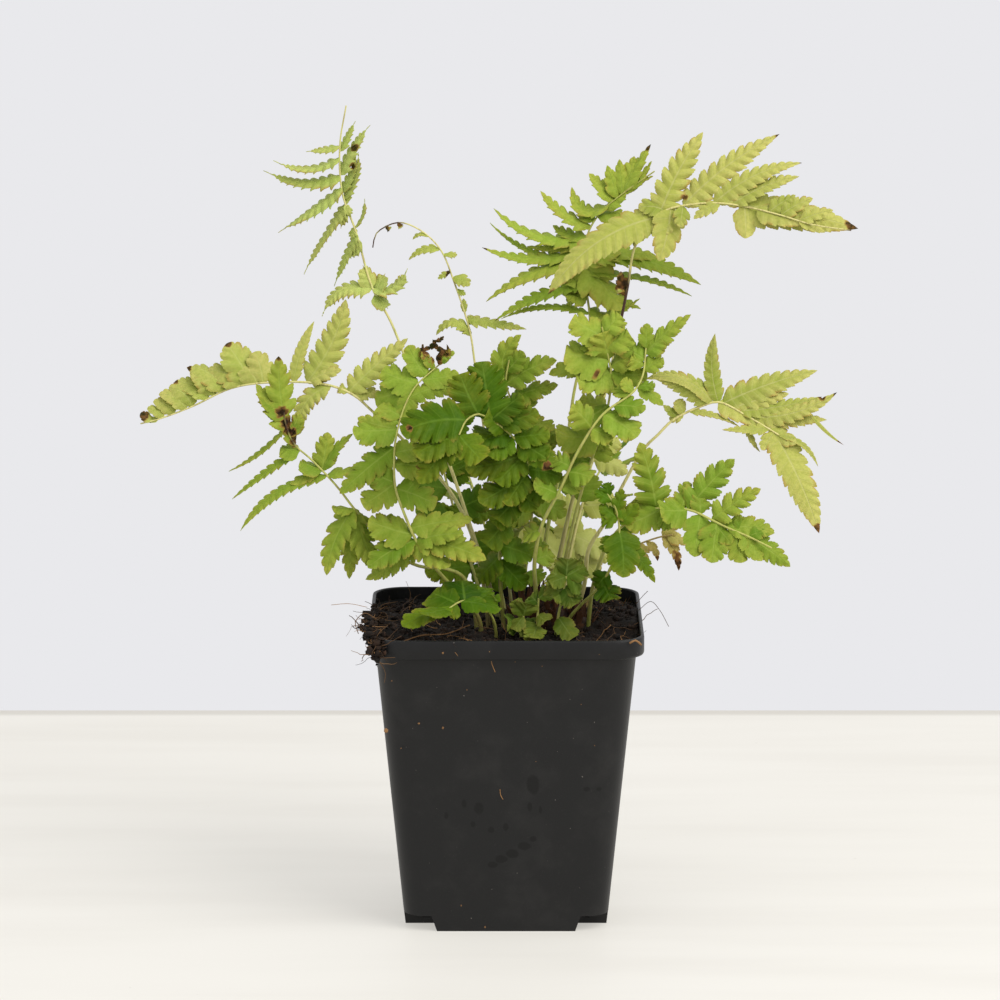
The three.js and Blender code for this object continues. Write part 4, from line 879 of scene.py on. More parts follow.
def stalk_paint(frond):
    """A stalk with darker lines painted along it as painted shade in its furrows, dark brown at its foot,
    partly its own brown and partly painted shade near the peat, and brown where the frond is withered.
    """
    paint = Paint(frond["name"] + "_stalk")
    tone, brown = paint.attribute("tone"), paint.attribute("brown")
    streak = paint.noise(1.5, detail=3, stretch=(1, 1, 0.15))
    groove_shade = paint.noise(0.9, stretch=(1, 1, 0.06))
    # Dark brown at the foot: partly the stalk's own brown, partly painted shade near the peat
    colour = paint.mix(tone, 0x3e2f18, frond["stalk_colour"])
    colour = paint.mix(streak.ramp(0.45, 0.7) * 0.35, colour, frond["green"])
    # Painted shade: darker lines along the stalk for the shade in its furrows
    colour = paint.mix(groove_shade.ramp(0.52, 0.62) * 0.4, colour, 0x7a6a3a)
    colour = paint.mix(brown, colour, 0x3d2414)
    return paint.finish(paint.surface(colour, 0.45, 0.35, streak, 0.08))


def floor_paint(settings):
    """Pale painted board that glows a little, as painted light that softens the shadows on it, and glows
    less along its back edge, as painted shade.
    """
    paint = Paint("painted_board")
    grain = paint.noise(60, detail=4, stretch=(0.25, 1.6, 1))
    specks = paint.noise(2.4, detail=1).ramp(0.80, 0.83)
    worn = (specks * 0.3).most(grain.ramp(0.35, 0.75) * 0.12)
    # Painted shade: the board's own light is dimmed along its back edge
    edge = paint.axis("Y").ramp(settings.floor_back - 0.012, settings.floor_back - 0.004) * 0.5
    colour = paint.mix(worn, tuple(settings.floor_colour), 0x6e675c)
    glow = paint.mix(edge.most(worn * 0.5), tuple(settings.glow_colour), 0x968b7c)
    return paint.finish(paint.surface(
        colour, 0.55, 0.2, grain, 0.2, Emission_Color=glow, Emission_Strength=settings.floor_glow
    ))


# Pot

# Water stains on the pot's front, each [across, up, half width, half height]
WET_STAINS = (
    (9, 41.5, 2.2, 3.4), (-9, 33.5, 1.6, 2.2), (8, 34, 0.8, 1.8), (11.5, 33, 0.6, 1.4),
    (27, 40, 1.1, 0.8), (31, 40, 0.9, 0.7), (-14, 35, 0.8, 1.5), (-5, 26, 1.1, 1.2),
    (0, 27, 0.9, 1.4), (-11, 28, 0.8, 1.1), (-20, 31, 0.7, 1.2), (-4.5, 14, 1.6, 1.1),
    (-1.5, 16, 2.2, 1.4), (2, 18, 2.2, 1.6), (6, 20.5, 2.2, 1.4), (9, 23, 1.2, 1),
)


def pot_half_width(height):
    """Half the width of the pot's outside at a height below the shoulder."""
    share = height / POT_SHOULDER_HEIGHT
    return lerp(POT_BASE_WIDTH, POT_SHOULDER_WIDTH, share) / 2


def front_point(across, up, proud=0):
    """Where a shown place lies on the front of the pot, or a little proud of it."""
    point = place(across, up, -POT_SHOULDER_WIDTH / 2)
    for _ in range(4):
        on_rim = point.z > POT_SHOULDER_HEIGHT
        front = POT_RIM_WIDTH / 2 if on_rim else pot_half_width(point.z)
        point = place(across, up, -front - proud)
    return point


def extend_rings(mesh, edges, steps):
    """Draws the open edge on through rings, each a half width and a height. Gives the last edge."""
    half = max(abs(vert.co.x) for edge in edges for vert in edge.verts)
    for next_half, height in steps:
        drawn = bmesh.ops.extrude_edge_only(mesh, edges=edges)
        edges = [item for item in drawn["geom"] if isinstance(item, bmesh.types.BMEdge)]
        for vert in drawn_verts(drawn):
            vert.co.x *= next_half / half
            vert.co.y *= next_half / half
            vert.co.z = height
        half = next_half
    return edges


def sink_cross(mesh, face, outer, bar, height):
    """Cuts a floor into nine fields and sinks the middle cross. Widths are pairs of half widths, at
    the floor and at the height it sinks to."""
    faces = {face}
    for axis in (Vector((1, 0, 0)), Vector((0, 1, 0))):
        for side in (-1, 1):
            parts = list(faces)
            around = list({part for owner in parts for part in (*owner.verts, *owner.edges)})
            cut = bmesh.ops.bisect_plane(
                mesh, geom=parts + around, plane_co=axis * side * bar[0], plane_no=axis
            )
            faces = {item for item in cut["geom"] if isinstance(item, bmesh.types.BMFace)}
    cross = []
    for part in faces:
        centre = part.calc_center_median()
        if min(abs(centre.x), abs(centre.y)) < bar[0]:
            cross.append(part)
    for vert in drawn_verts(bmesh.ops.extrude_face_region(mesh, geom=cross)):
        for axis in (0, 1):
            beyond = abs(vert.co[axis]) > bar[0] + 0.01
            low, high = (outer[1], outer[0]) if beyond else (bar[1], bar[0])
            vert.co[axis] *= low / high
        vert.co.z = height
    bmesh.ops.delete(mesh, geom=cross, context="FACES_ONLY")


def cut_holes(piece):
    """Cuts the drain holes through the raised corners of the pot's floor."""
    mesh = bmesh.new()
    for x in (-DRAIN_OFFSET, DRAIN_OFFSET):
        for y in (-DRAIN_OFFSET, DRAIN_OFFSET):
            bmesh.ops.create_cone(
                mesh, cap_ends=True, segments=20, radius1=DRAIN_RADIUS * MM, radius2=DRAIN_RADIUS * MM,
                depth=5 * POT_WALL * MM, matrix=Matrix.Translation(Vector((x, y, FOOT_RISE)) * MM),
            )
    cutter = add_mesh_object("drain_cutter", mesh)
    holes = piece.modifiers.new("holes", "BOOLEAN")
    holes.object = cutter
    holes.operation = "DIFFERENCE"
    settle_modifiers(piece)
    bpy.data.objects.remove(cutter)


def settle_modifiers(piece):
    """Makes what a piece's modifiers show its own mesh."""
    graph = bpy.context.evaluated_depsgraph_get()
    settled = bpy.data.meshes.new_from_object(piece.evaluated_get(graph))
    piece.modifiers.clear()
    worn = piece.data
    piece.data = settled
    bpy.data.meshes.remove(worn)


def build_pot(settings):
    """The pot's wall, drawn up from its floor, over the rim and down inside, with its foot and holes."""
    mesh = bmesh.new()
    floor_half = pot_half_width(FOOT_RISE)
    bmesh.ops.create_grid(mesh, x_segments=1, y_segments=1, size=floor_half)
    bmesh.ops.bevel(
        mesh, geom=mesh.verts[:], offset=FLOOR_CORNER_RADIUS, affect="VERTICES",
        segments=settings.corner_steps, profile=0.5, material=-1,
    )
    shoulder, shoulder_half, rim_half = POT_SHOULDER_HEIGHT, POT_SHOULDER_WIDTH / 2, POT_RIM_WIDTH / 2
    for vert in mesh.verts:
        vert.co.z = FOOT_RISE
    floor = next(iter(mesh.faces))
    outside = [edge for edge in mesh.edges if edge.is_boundary]
    wall = settings.wall
    outer_steps = [
        (lerp(floor_half, shoulder_half, share), lerp(FOOT_RISE, shoulder, share))
        for share in (0.02, 0.25, 0.5, 0.75, 0.985)
    ]
    rim_steps = [
        (shoulder_half + 0.2, shoulder - 0.25), (rim_half - 0.9, shoulder - 0.1),
        (rim_half - 0.3, shoulder + 0.15), (rim_half, shoulder + 0.8), (rim_half, POT_HEIGHT - 0.7),
        (rim_half - 0.15, POT_HEIGHT - 0.2), (rim_half - 0.5, POT_HEIGHT),
        (rim_half - wall + 0.3, POT_HEIGHT), (rim_half - wall, POT_HEIGHT - 0.3),
        (rim_half - wall, shoulder + 2), (shoulder_half - wall, shoulder + 0.6),
        (floor_half - wall, FOOT_RISE + wall),
    ]
    inside = extend_rings(mesh, outside, outer_steps + rim_steps)
    inner_floor = bmesh.ops.contextual_create(mesh, geom=inside)["faces"][0]
    foot_half = pot_half_width(0)
    bars = (FOOT_WIDTH_TOP / 2, FOOT_WIDTH_BOTTOM / 2)
    sink_cross(mesh, floor, (floor_half, foot_half), bars, 0)
    inner_bars = tuple(bar - wall for bar in bars)
    sink_cross(mesh, inner_floor, (floor_half - wall, foot_half - wall), inner_bars, wall)
    bmesh.ops.recalc_face_normals(mesh, faces=mesh.faces)
    piece = new_piece("nursery_pot", mesh, [plastic_paint()], "pot", "pot", crease=30)
    cut_holes(piece)
    soften = piece.modifiers.new("soft_edges", "BEVEL")
    soften.width = 0.35 * MM
    soften.segments = 2
    soften.limit_method = "ANGLE"
    soften.angle_limit = math.radians(40)
    piece.data.shade_smooth()


def build_pot_specks():
    """Crumbs of peat and fine roots that cling to the pot's front."""
    chance = random.Random(31)
    mesh = bmesh.new()
    tone = mesh.verts.layers.float.new("tone")
    for across, up, size in POT_SPECKS:
        centre = front_point(across, up)
        before = len(mesh.verts)
        bmesh.ops.create_icosphere(
            mesh, subdivisions=1, radius=size,
            matrix=Matrix.Translation(centre) @ Matrix.Diagonal((1, 0.45, chance.uniform(0.7, 1.5), 1)),
        )
        mesh.verts.ensure_lookup_table()
        for vert in mesh.verts[before:]:
            vert.co += Vector([chance.uniform(-0.38, 0.38) * size for _ in range(3)]) * 0.6
            vert[tone] = 0.2 + 0.9 * size
    for hair in POT_HAIRS:
        line = spline_through([front_point(*spot, 0.1) for spot in hair], 0.8)
        add_tube(mesh, line, [0.13] * len(line), 5, even(tone, 0.9))
    bmesh.ops.recalc_face_normals(mesh, faces=mesh.faces)
    new_piece("clinging_crumbs", mesh, [fibre_paint()], "peat")


# Crumbs on the pot's front, each [across, up, radius], and fine roots, each places along it
POT_SPECKS = (
    (-29, 62.5, 0.5), (-40, 60, 0.7), (-21, 61, 0.45), (-21, 86.5, 0.45), (-38, 77, 0.22),
    (-13, 74, 0.22), (-35, 54, 0.25), (10, 49.5, 0.22), (29.5, 55, 0.22), (25, 69, 0.2),
    (-15, 0, 0.3), (-7, -7.5, 0.35), (12, 82, 0.22), (31, 86, 0.2), (3, 83.5, 0.25),
)
POT_HAIRS = (
    ((-5.5, 87), (-5, 84.5), (-4.6, 82.5), (-3.6, 80)),
    ((-2, 40), (-1.8, 38), (-1, 36.5)),
)


# Peat


def soil_height(x, y):
    """The peat's even surface, with its heaps at the left front and at the right."""
    ripple = 0.7 * math.sin(0.21 * x + 0.6) * math.cos(0.17 * y)
    cross = 0.5 * math.sin(0.33 * y + 0.11 * x)
    left_heap = 4.2 * math.exp(-((x + 40)**2 + (y + 22)**2) / 260)
    right_heap = 4.5 * math.exp(-((x - 39)**2 + (y - 6)**2) / 330)
    return SOIL_LEVEL + ripple + cross + left_heap + right_heap


def rough_height(x, y):
    """The peat's surface with its clods."""
    spot = Vector((x, y, 0))
    clods = noise.fractal(spot / 5, 0.9, 2.1, 4) * 1.1 + abs(noise.noise(spot / 2.1)) * 0.9
    return soil_height(x, y) + clods


def to_rounded(x, y, half, radius):
    """Moves a point of the square -1..1 to the same place in a square with rounded corners."""
    reach = max(abs(x), abs(y))
    if reach == 0:
        return 0, 0
    core = half - radius
    out_x, out_y = abs(x) / reach * half, abs(y) / reach * half
    if out_x > core and out_y > core:
        past = math.hypot(out_x - core, out_y - core)
        out_x = core + (out_x - core) * radius / past
        out_y = core + (out_y - core) * radius / past
    return math.copysign(out_x * reach, x), math.copysign(out_y * reach, y)


def build_peat(settings):
    """The peat: a clodded surface, drawn down inside the pot's wall to its floor."""
    mesh = bmesh.new()
    steps = settings.peat_steps
    grid = bmesh.ops.create_grid(mesh, x_segments=steps, y_segments=steps, size=1)
    rim_inside = POT_RIM_WIDTH / 2 - POT_WALL - 0.15
    for vert in grid["verts"]:
        x, y = to_rounded(vert.co.x, vert.co.y, rim_inside, POT_CORNER_RADIUS)
        vert.co = Vector((x, y, rough_height(x, y)))
    rim = [edge for edge in mesh.edges if edge.is_boundary]
    inset = POT_WALL + 0.3
    floor = FOOT_RISE + POT_WALL + 0.3
    foot = extend_rings(mesh, rim, [
        (rim_inside, POT_SHOULDER_HEIGHT + 1.2), (POT_SHOULDER_WIDTH / 2 - inset, POT_SHOULDER_HEIGHT),
        (pot_half_width(floor) - inset, floor),
    ])
    bmesh.ops.contextual_create(mesh, geom=foot)
    bmesh.ops.recalc_face_normals(mesh, faces=mesh.faces)
    paint = peat_paint("peat", 0x0a0705, 0x21160d, 0.8)
    new_piece("peat_bed", mesh, [paint], "peat", "soil", crease=180)


# Of so many crumbs or fibres, one lies on the clump of peat that hangs over the rim.
CRUMBS_PER_SPILLED = 6
FIBRES_PER_SPILLED = 4

# The middle line of that clump
SPILL = (
    (-42.5, 6, 98.5), (-44.5, -12, 100.5), (-45, -28, 101.5), (-44.5, -39, 100.5), (-41.5, -43.5, 98.5),
    (-42.5, -45.5, 94.5),
)


def spill_point(chance):
    """A place on the clump of peat that hangs over the rim at the front left corner."""
    share = chance.random()
    legs = len(SPILL) - 1
    leg = min(legs - 1, int(share * legs))
    start, end = Vector(SPILL[leg]), Vector(SPILL[leg + 1])
    return start.lerp(end, share * legs - leg) + scatter(chance, 1.0, 1.4, 1.1)


def loose_place(chance):
    """A place on the peat, as x and y."""
    return to_rounded(chance.uniform(-1, 1), chance.uniform(-1, 1), LOOSE_REACH, POT_CORNER_RADIUS)


def build_crumbs(settings):
    """Loose crumbs on the peat, and the clump that hangs over the rim."""
    chance = random.Random(7)
    mesh = bmesh.new()
    for index in range(settings.crumbs):
        if index % CRUMBS_PER_SPILLED == 0:
            centre = spill_point(chance)
            size = chance.uniform(0.5, 1.3)
        else:
            x, y = loose_place(chance)
            size = chance.uniform(0.35, 1.25)
            centre = Vector((x, y, rough_height(x, y) + size * 0.3))
        turn = Matrix.Rotation(chance.uniform(0, math.tau), 4, scatter(chance, 1, 1, 1))
        form = Matrix.Diagonal((size * chance.uniform(0.7, 1.6), size, size * chance.uniform(0.5, 0.9), 1))
        pose = Matrix.Translation(centre) @ turn @ form
        made = bmesh.ops.create_icosphere(mesh, subdivisions=1, radius=1, matrix=pose)
        for vert in made["verts"]:
            vert.co += (vert.co - centre) * chance.uniform(-0.3, 0.25)
    paint = peat_paint("peat_crumb", 0x0a0705, 0x2a1c12, 0.4)
    new_piece("peat_crumbs", mesh, [paint], "peat", crease=180)


def build_fibres(settings):
    """Fibres and fine roots that lie on the peat and stick out of it."""
    chance = random.Random(19)
    mesh = bmesh.new()
    tone = mesh.verts.layers.float.new("tone")
    for index in range(settings.fibres):
        if index % FIBRES_PER_SPILLED == 0:
            point = spill_point(chance)
        else:
            x, y = loose_place(chance)
            point = Vector((x, y, rough_height(x, y) + 0.2))
        heading = scatter(chance, 1, 1, 0.35).normalized()
        stride = chance.uniform(0.7, 1.6)
        line = [point]
        for _ in range(chance.randint(4, 8)):
            heading += scatter(chance, 0.35, 0.35, 0.2)
            heading.normalize()
            point = point + heading * stride
            if max(abs(point.x), abs(point.y)) < LOOSE_REACH:
                point.z = max(point.z, rough_height(point.x, point.y) + 0.1)
            line.append(point)
        shade = chance.random()**2.2
        radius = chance.uniform(0.08, 0.22)
        radii = [radius * (1 - 0.6 * i / len(line)) for i in range(len(line))]
        add_tube(mesh, line, radii, 4, even(tone, shade))
    for radius, shade, *spots in PEAT_HAIRS:
        line = spline_through([place(*spot) for spot in spots], 1.2)
        add_tube(mesh, line, [radius] * len(line), 5, even(tone, shade))
    bmesh.ops.recalc_face_normals(mesh, faces=mesh.faces)
    new_piece("peat_fibres", mesh, [fibre_paint()], "peat", crease=180)


# Roots and fibres that stand out in the view, each its radius, its tone and places along it
PEAT_HAIRS = (
    (0.22, 0.75, (-34, 90.5, -36), (-28, 92.5, -33), (-20, 93, -30), (-12, 96, -26)),
    (0.35, 0.8, (41, 89.8, -44.8), (43, 90.8, -44.6), (45, 89.2, -44)),
    (0.1, 0.2, (44, 101, -5), (48, 104, -6), (51, 101, -8), (54, 95.5, -9)),
    (0.1, 0.25, (43, 103, 4), (45.5, 106, 3), (47, 107.5, 2)),
    (0.09, 0.9, (-46, 102, -40), (-52, 103.2, -41), (-58, 102.8, -42)),
    (0.14, 0.35, (-43, 98, -42), (-47, 100, -44), (-50, 97, -44), (-49, 93, -44)),
)


# Rootstock


def build_rootstock():
    """The brown crown that the stalks rise from, roughened and wrapped in papery scales."""
    chance = random.Random(5)
    mesh = bmesh.new()
    mesh.from_mesh(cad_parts["crown"].data)
    bmesh.ops.remove_doubles(mesh, verts=mesh.verts, dist=MERGE * MM)
    copy = add_mesh_object("crown_copy", mesh)
    remesh = copy.modifiers.new("even", "REMESH")
    remesh.mode = "VOXEL"
    remesh.voxel_size = 0.55 * MM
    settle_modifiers(copy)
    mesh = bmesh.new()
    mesh.from_mesh(copy.data)
    bpy.data.objects.remove(copy)
    bmesh.ops.scale(mesh, vec=(1 / MM, 1 / MM, 1 / MM), verts=mesh.verts)
    mesh.normal_update()
    tone = mesh.verts.layers.float.new("tone")
    for vert in mesh.verts:
        rough = noise.fractal(vert.co / 2.5, 0.8, 2.0, 3)
        vert.co += vert.normal * rough * 0.5
        vert[tone] = max(0, rough)
    blades = []
    for x, y, z, radius in CROWN_LUMPS:
        for _ in range(SCALES_PER_LUMP):
            around = chance.uniform(0, math.tau)
            tilt = chance.uniform(0.1, 1.35)
            level = math.sin(tilt)
            out = Vector((math.cos(around) * level, math.sin(around) * level, math.cos(tilt)))
            root = Vector((x, y, z)) + Vector((out.x, out.y, out.z * 1.15)) * radius * 0.97
            scale = add_scale(mesh, root, out, chance)
            shade = chance.uniform(0.2, 0.9)
            for vert in {vert for face in scale for vert in face.verts}:
                vert[tone] = shade
            blades += scale
    mesh.normal_update()
    for vert in drawn_verts(bmesh.ops.extrude_face_region(mesh, geom=blades, use_keep_orig=True)):
        vert.co -= vert.normal * 0.12
    bmesh.ops.recalc_face_normals(mesh, faces=mesh.faces)
    new_piece("rootstock", mesh, [rootstock_paint()], "rootstock", "crown", crease=60)


# Papery scales on each lump of the crown, and each lump's middle and radius
SCALES_PER_LUMP = 34
CROWN_LUMPS = ((7, -2, 94, 8), (16, -3, 95.5, 7.5), (12, 6, 96, 7), (24, -4, 94, 5.5))


def add_scale(mesh, root, out, chance):
    """A narrow papery scale that rises from a root and leans out. Gives its faces."""
    up = Vector((out.x * 0.4, out.y * 0.4, 1)).normalized()
    side = out.cross(up).normalized()
    length = chance.uniform(3, 6.5)
    width = chance.uniform(0.5, 1.1)
    grid = bmesh.ops.create_grid(mesh, x_segments=4, y_segments=2, size=0.5)
    for vert in grid["verts"]:
        along = vert.co.x + 0.5
        across = vert.co.y * 2
        breadth = width * (0.5 + 1.6 * along) * (1 - along**2) + 0.06
        bulge = out * (0.5 * along**2 * length * 0.5 - 0.25 * abs(across) * breadth)
        vert.co = root + up * length * along + side * across * breadth + bulge
    return list({face for vert in grid["verts"] for face in vert.link_faces})


# Fronds


def leaflet_bow(stalk, leaflet, swing):
    """A leaflet's middle line, from its stalk or its own place, with its tip swung back a distance."""
    start, tip_across, tip_up, tip_back, _, bow = leaflet
    if isinstance(start, tuple):
        shown_root = Vector(start)
        nearest = min(stalk, key=lambda spot: (shown_at(spot) - shown_root).length_squared)
        root = place(*shown_root, nearest.y)
    else:
        root = stalk[round(start / 100 * (len(stalk) - 1))]
        shown_root = shown_at(root)
    along = Vector((tip_across, tip_up)) - shown_root
    left = Vector((-along.y, along.x)).normalized()
    middle = shown_root + along / 2 + left * bow * 2
    return Bow(
        root,
        place(*middle, root.y + (tip_back + swing) * 0.4),
        place(tip_across, tip_up, root.y + tip_back + swing),
    )


# A leaflet follows the solid blade that its line is this near to, and is clear of others at this
# distance, both at these shares of its length
BLADE_NEAR = 0.9
BLADE_CLEAR = 1.0
BLADE_SHARES = (0.35, 0.55, 0.75, 0.9)


def best_bow(stalk, leaflet, own, others):
    """The leaflet's line where its frond's solid has that blade, or else where it is clear."""
    bows = [leaflet_bow(stalk, leaflet, swing) for swing in SWINGS]

    def gaps(bow, solids):
        return [solids.find_nearest(bow.point(share) * MM)[3] for share in BLADE_SHARES]

    fitting = min(bows, key=lambda bow: max(gaps(bow, own)))
    if max(gaps(fitting, own)) < BLADE_NEAR * MM:
        return fitting
    for bow in bows:
        if min(gaps(bow, others)) > BLADE_CLEAR * MM:
            return bow
    return bows[0]


FEWEST_LOBES = 3
MOST_LOBES = 13


def lobe_stations(length, half_width, pitch, saw):
    """Shares along a blade where its grid has columns, each with its lobe and its notch's depth."""
    lobes = round(length / (pitch * (0.55 + 0.1 * half_width)))
    lobes = max(FEWEST_LOBES, min(MOST_LOBES, lobes))
    first = min(0.3, 1.0 / length)
    stations = [(0, 0, 1), (first * 0.5, 0, 1)]
    for lobe in range(lobes):
        for phase, rounded, sawn in LOBE_EDGE:
            share = lerp(first, 1, (lobe + phase) / lobes)
            stations.append((share, lobe + phase, lerp(rounded, sawn, saw)))
    stations.append((1, lobes, 1))
    return stations


# Places within a lobe where a blade's grid has columns, each with how deep the edge is cut there
# on a rounded lobe, which has three small teeth on its front, and on a saw tooth
LOBE_EDGE = (
    (0, 1, 1), (0.05, 0.55, 0.97), (0.12, 0.22, 0.88), (0.2, 0.32, 0.76), (0.27, 0.04, 0.64),
    (0.35, 0.03, 0.52), (0.41, 0.24, 0.43), (0.48, 0, 0.33), (0.57, 0.03, 0.22), (0.64, 0.28, 0.14),
    (0.72, 0.09, 0.05), (0.84, 0.24, 0), (0.93, 0.6, 0.3),
)


def withering(point, spots):
    """How withered a frond is at a point, from its list of brown places."""
    shown = shown_at(point)
    ragged = noise.noise(point / 2.5) * 0.5 + noise.noise(point / 0.8) * 0.18
    worst = 0
    for across, up, radius in spots:
        away = (shown - Vector((across, up))).length / radius + ragged
        worst = max(worst, 1 - smooth_step(0.5, 1.05, away))
    return worst


# Half widths of a leaflet's little stem, and of the narrowest place that its notches leave near it
STEM = 0.3
NARROWEST = 0.28


def add_leaflet(mesh, marks, bow, half_width, cut, tone, frond, chance, settings):
    """A lobed blade along a bow: a grid drawn to the blade's outline, cupped, folded and waved."""
    pitch = frond["pitch"] * (0.75 + 0.6 * cut) * settings.lobe_size
    stations = lobe_stations(bow.length, half_width, pitch, frond["saw"])
    last = len(stations) - 1
    facing = Vector(frond["face"]).normalized()
    fold = chance.uniform(-0.28, 0.12)
    wave, wave_at = chance.uniform(0.05, 0.14), chance.uniform(0, math.tau)
    twist = math.radians(chance.uniform(-14, 14))
    roll = math.radians(chance.uniform(-9, 9))
    arch = chance.uniform(-0.01, 0.045) * bow.length
    tone = min(1, max(0, tone + chance.uniform(-0.38, 0.38)))
    age = frond["age"] + chance.uniform(-0.13, 0.13)
    cut = cut * chance.uniform(0.85, 1.15)
    grid = bmesh.ops.create_grid(mesh, x_segments=last, y_segments=settings.blade_rows, size=0.5)
    for vert in grid["verts"]:
        share, lobe, notch = stations[round((vert.co.x + 0.5) * last)]
        across = vert.co.y * 2
        widest = half_width * (min(1, 0.6 + 3 * share) * (1 - share**frond["point"]))
        if frond["thread"]:
            widest *= 1 - 0.85 * smooth_step(0.8 - frond["thread"], 1 - frond["thread"] / 2, share)
        depth = cut * lerp(1.2, 0.5, share**1.5) * notch
        edge = max(NARROWEST * (1 - share), widest * (1 - depth)) if share else STEM
        slant = settings.slant * lerp(0.15, 1, smooth_step(0, 0.6, share))
        slid = min(1, share + slant * abs(across) * edge / bow.length)
        ahead = bow.tangent(slid)
        up = (facing - ahead * facing.dot(ahead)).normalized()
        side = up.cross(ahead)
        turn = Matrix.Rotation(roll + twist * share, 3, ahead)
        up, side = turn @ up, turn @ side
        lobe_bulge = math.cos(math.tau * (lobe % 1 - 0.5)) * 0.2 * cut * abs(across) * half_width
        lift = (
            fold * abs(across) * edge
            - 0.12 * across**2 * edge
            + lobe_bulge * min(1, 4 * (1 - share))
            + wave * edge * across * math.sin(6.5 * share + wave_at)
            + arch * 4 * share * (1 - share)
        )
        vert.co = bow.point(slid) + side * across * edge + up * lift
        vert[marks["across"]] = across
        vert[marks["lobe"]] = lobe
        vert[marks["tone"]] = tone
        vert[marks["age"]] = age + 0.3 * share**2 + 0.22 * across**2
        vert[marks["brown"]] = withering(vert.co, frond["spots"])


def build_frond(frond, settings, others):
    """One frond: its stalk, and a leaflet for each of its rows."""
    name = frond["name"]
    chance = random.Random(name)
    stalk = spline_through([place(*spot) for spot in frond["stalk"]], settings.stalk_step)
    own = BVHTree.FromObject(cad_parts[name], bpy.context.evaluated_depsgraph_get())
    mesh = bmesh.new()
    marks = {mark: mesh.verts.layers.float.new(mark) for mark in MARKS}
    for given in frond["leaflets"]:
        *leaflet, cut, tone = *given, *(0, frond["cut"], frond["tone"])[len(given) - 5:]
        bow = best_bow(stalk, leaflet, own, others)
        add_leaflet(mesh, marks, bow, leaflet[4], cut, tone, frond, chance, settings)
    bmesh.ops.remove_doubles(mesh, verts=mesh.verts, dist=MERGE)
    mesh.normal_update()
    for vert in drawn_verts(bmesh.ops.extrude_face_region(mesh, geom=mesh.faces[:], use_keep_orig=True)):
        vert.co -= vert.normal * settings.blade_thickness
        vert[marks["under"]] = 1
    blades = set(mesh.faces)
    root_radius, tip_radius = frond["radii"]
    steps = len(stalk) - 1
    radii = [lerp(0.88 * root_radius, 0.6 * tip_radius, (i / steps)**0.65) for i in range(steps + 1)]

    def mark_stalk(vert, share):
        # The foot is dark over about a third of the stalk: partly its own brown, partly painted shade near
        # the peat
        vert[marks["tone"]] = smooth_step(-0.03, 0.34, share)
        vert[marks["brown"]] = withering(vert.co, frond["spots"])

    add_tube(mesh, stalk, radii, settings.stalk_sides, mark_stalk)
    for face in mesh.faces:
        if face not in blades:
            face.material_index = 1
    bmesh.ops.recalc_face_normals(mesh, faces=mesh.faces)
    paints = [blade_paint(frond), stalk_paint(frond)]
    new_piece(name + "_leafy", mesh, paints, frond["slot"], name, crease=75)


# What a blade's points hold for its paint: how far across, the lobe, lightness, age, withering, and
# whether they are underneath
MARKS = ("across", "lobe", "tone", "age", "brown", "under")


def all_other_blades(name):
    """The solids of every frond but one, as one search tree."""
    mesh = bmesh.new()
    for frond in FRONDS:
        if frond["name"] != name:
            mesh.from_mesh(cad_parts[frond["name"]].data)
    tree = BVHTree.FromBMesh(mesh)
    mesh.free()
    return tree


# Stage


def stand(thing, spot, aim):
    """Stands a light or a camera on a spot, both in millimetres, and aims it."""
    thing.location = Vector(spot) * MM
    thing.rotation_euler = (Vector(aim) - Vector(spot)).to_track_quat("-Z", "Y").to_euler()


def add_area_light(name, spot, aim, size, power, colour):
    """A square light whose spot, aim and size are in millimetres."""
    lamp = bpy.data.lights.new(name, "AREA")
    lamp.shape = "RECTANGLE"
    lamp.size = lamp.size_y = size * MM
    lamp.energy = power
    lamp.color = colour
    stand(add_object(name, lamp), spot, aim)


# The board that the pot stands on. Its back edge is a setting.
BOARD_WIDTH = 2400
BOARD_FRONT = -1500
BOARD_THICKNESS = 18


def build_floor(settings):
    """The pale board below the pot, which is not a part of the plant."""
    mesh = bmesh.new()
    grid = bmesh.ops.create_grid(mesh, x_segments=8, y_segments=8, size=0.5)
    for vert in grid["verts"]:
        back = lerp(BOARD_FRONT, settings.floor_back / MM, vert.co.y + 0.5)
        vert.co = Vector((vert.co.x * BOARD_WIDTH, back, 0))
    for vert in drawn_verts(bmesh.ops.extrude_face_region(mesh, geom=mesh.faces[:], use_keep_orig=True)):
        vert.co.z -= BOARD_THICKNESS
    bmesh.ops.recalc_face_normals(mesh, faces=mesh.faces)
    floor = add_mesh_object("floor_board", mesh, MM)
    floor.data.materials.append(floor_paint(settings))


def build_light(settings):
    """Even light all round, with a main light and a softer one."""
    world = bpy.data.worlds.new("studio_air")
    bpy.context.scene.world = world
    world.use_nodes = True
    air = world.node_tree.nodes["Background"]
    air.inputs["Color"].default_value = (*settings.air_colour, 1)
    air.inputs["Strength"].default_value = settings.air_strength
    add_area_light("key_light", (750, -650, 1100), (0, 0, 120), 1000, settings.key_power, (1, 0.99, 0.96))
    add_area_light("fill_light", (-900, -900, 700), (0, 0, 100), 900, settings.fill_power, (0.97, 0.98, 1))


def build_camera(settings):
    """The camera, at the eye that the fern was measured from."""
    lens = bpy.data.cameras.new("viewpoint")
    lens.sensor_width = 36
    lens.lens = settings.lens
    lens.clip_start = 0.05
    lens.clip_end = 20
    camera = add_object("viewpoint", lens)
    stand(camera, EYE, AIM)
    bpy.context.scene.camera = camera


# Add-on


def number(name, description, default, low, high, kind=FloatProperty):
    """A setting that is a plain number, kept between two limits."""
    return kind(name=name, description=description, default=default, min=low, max=high)


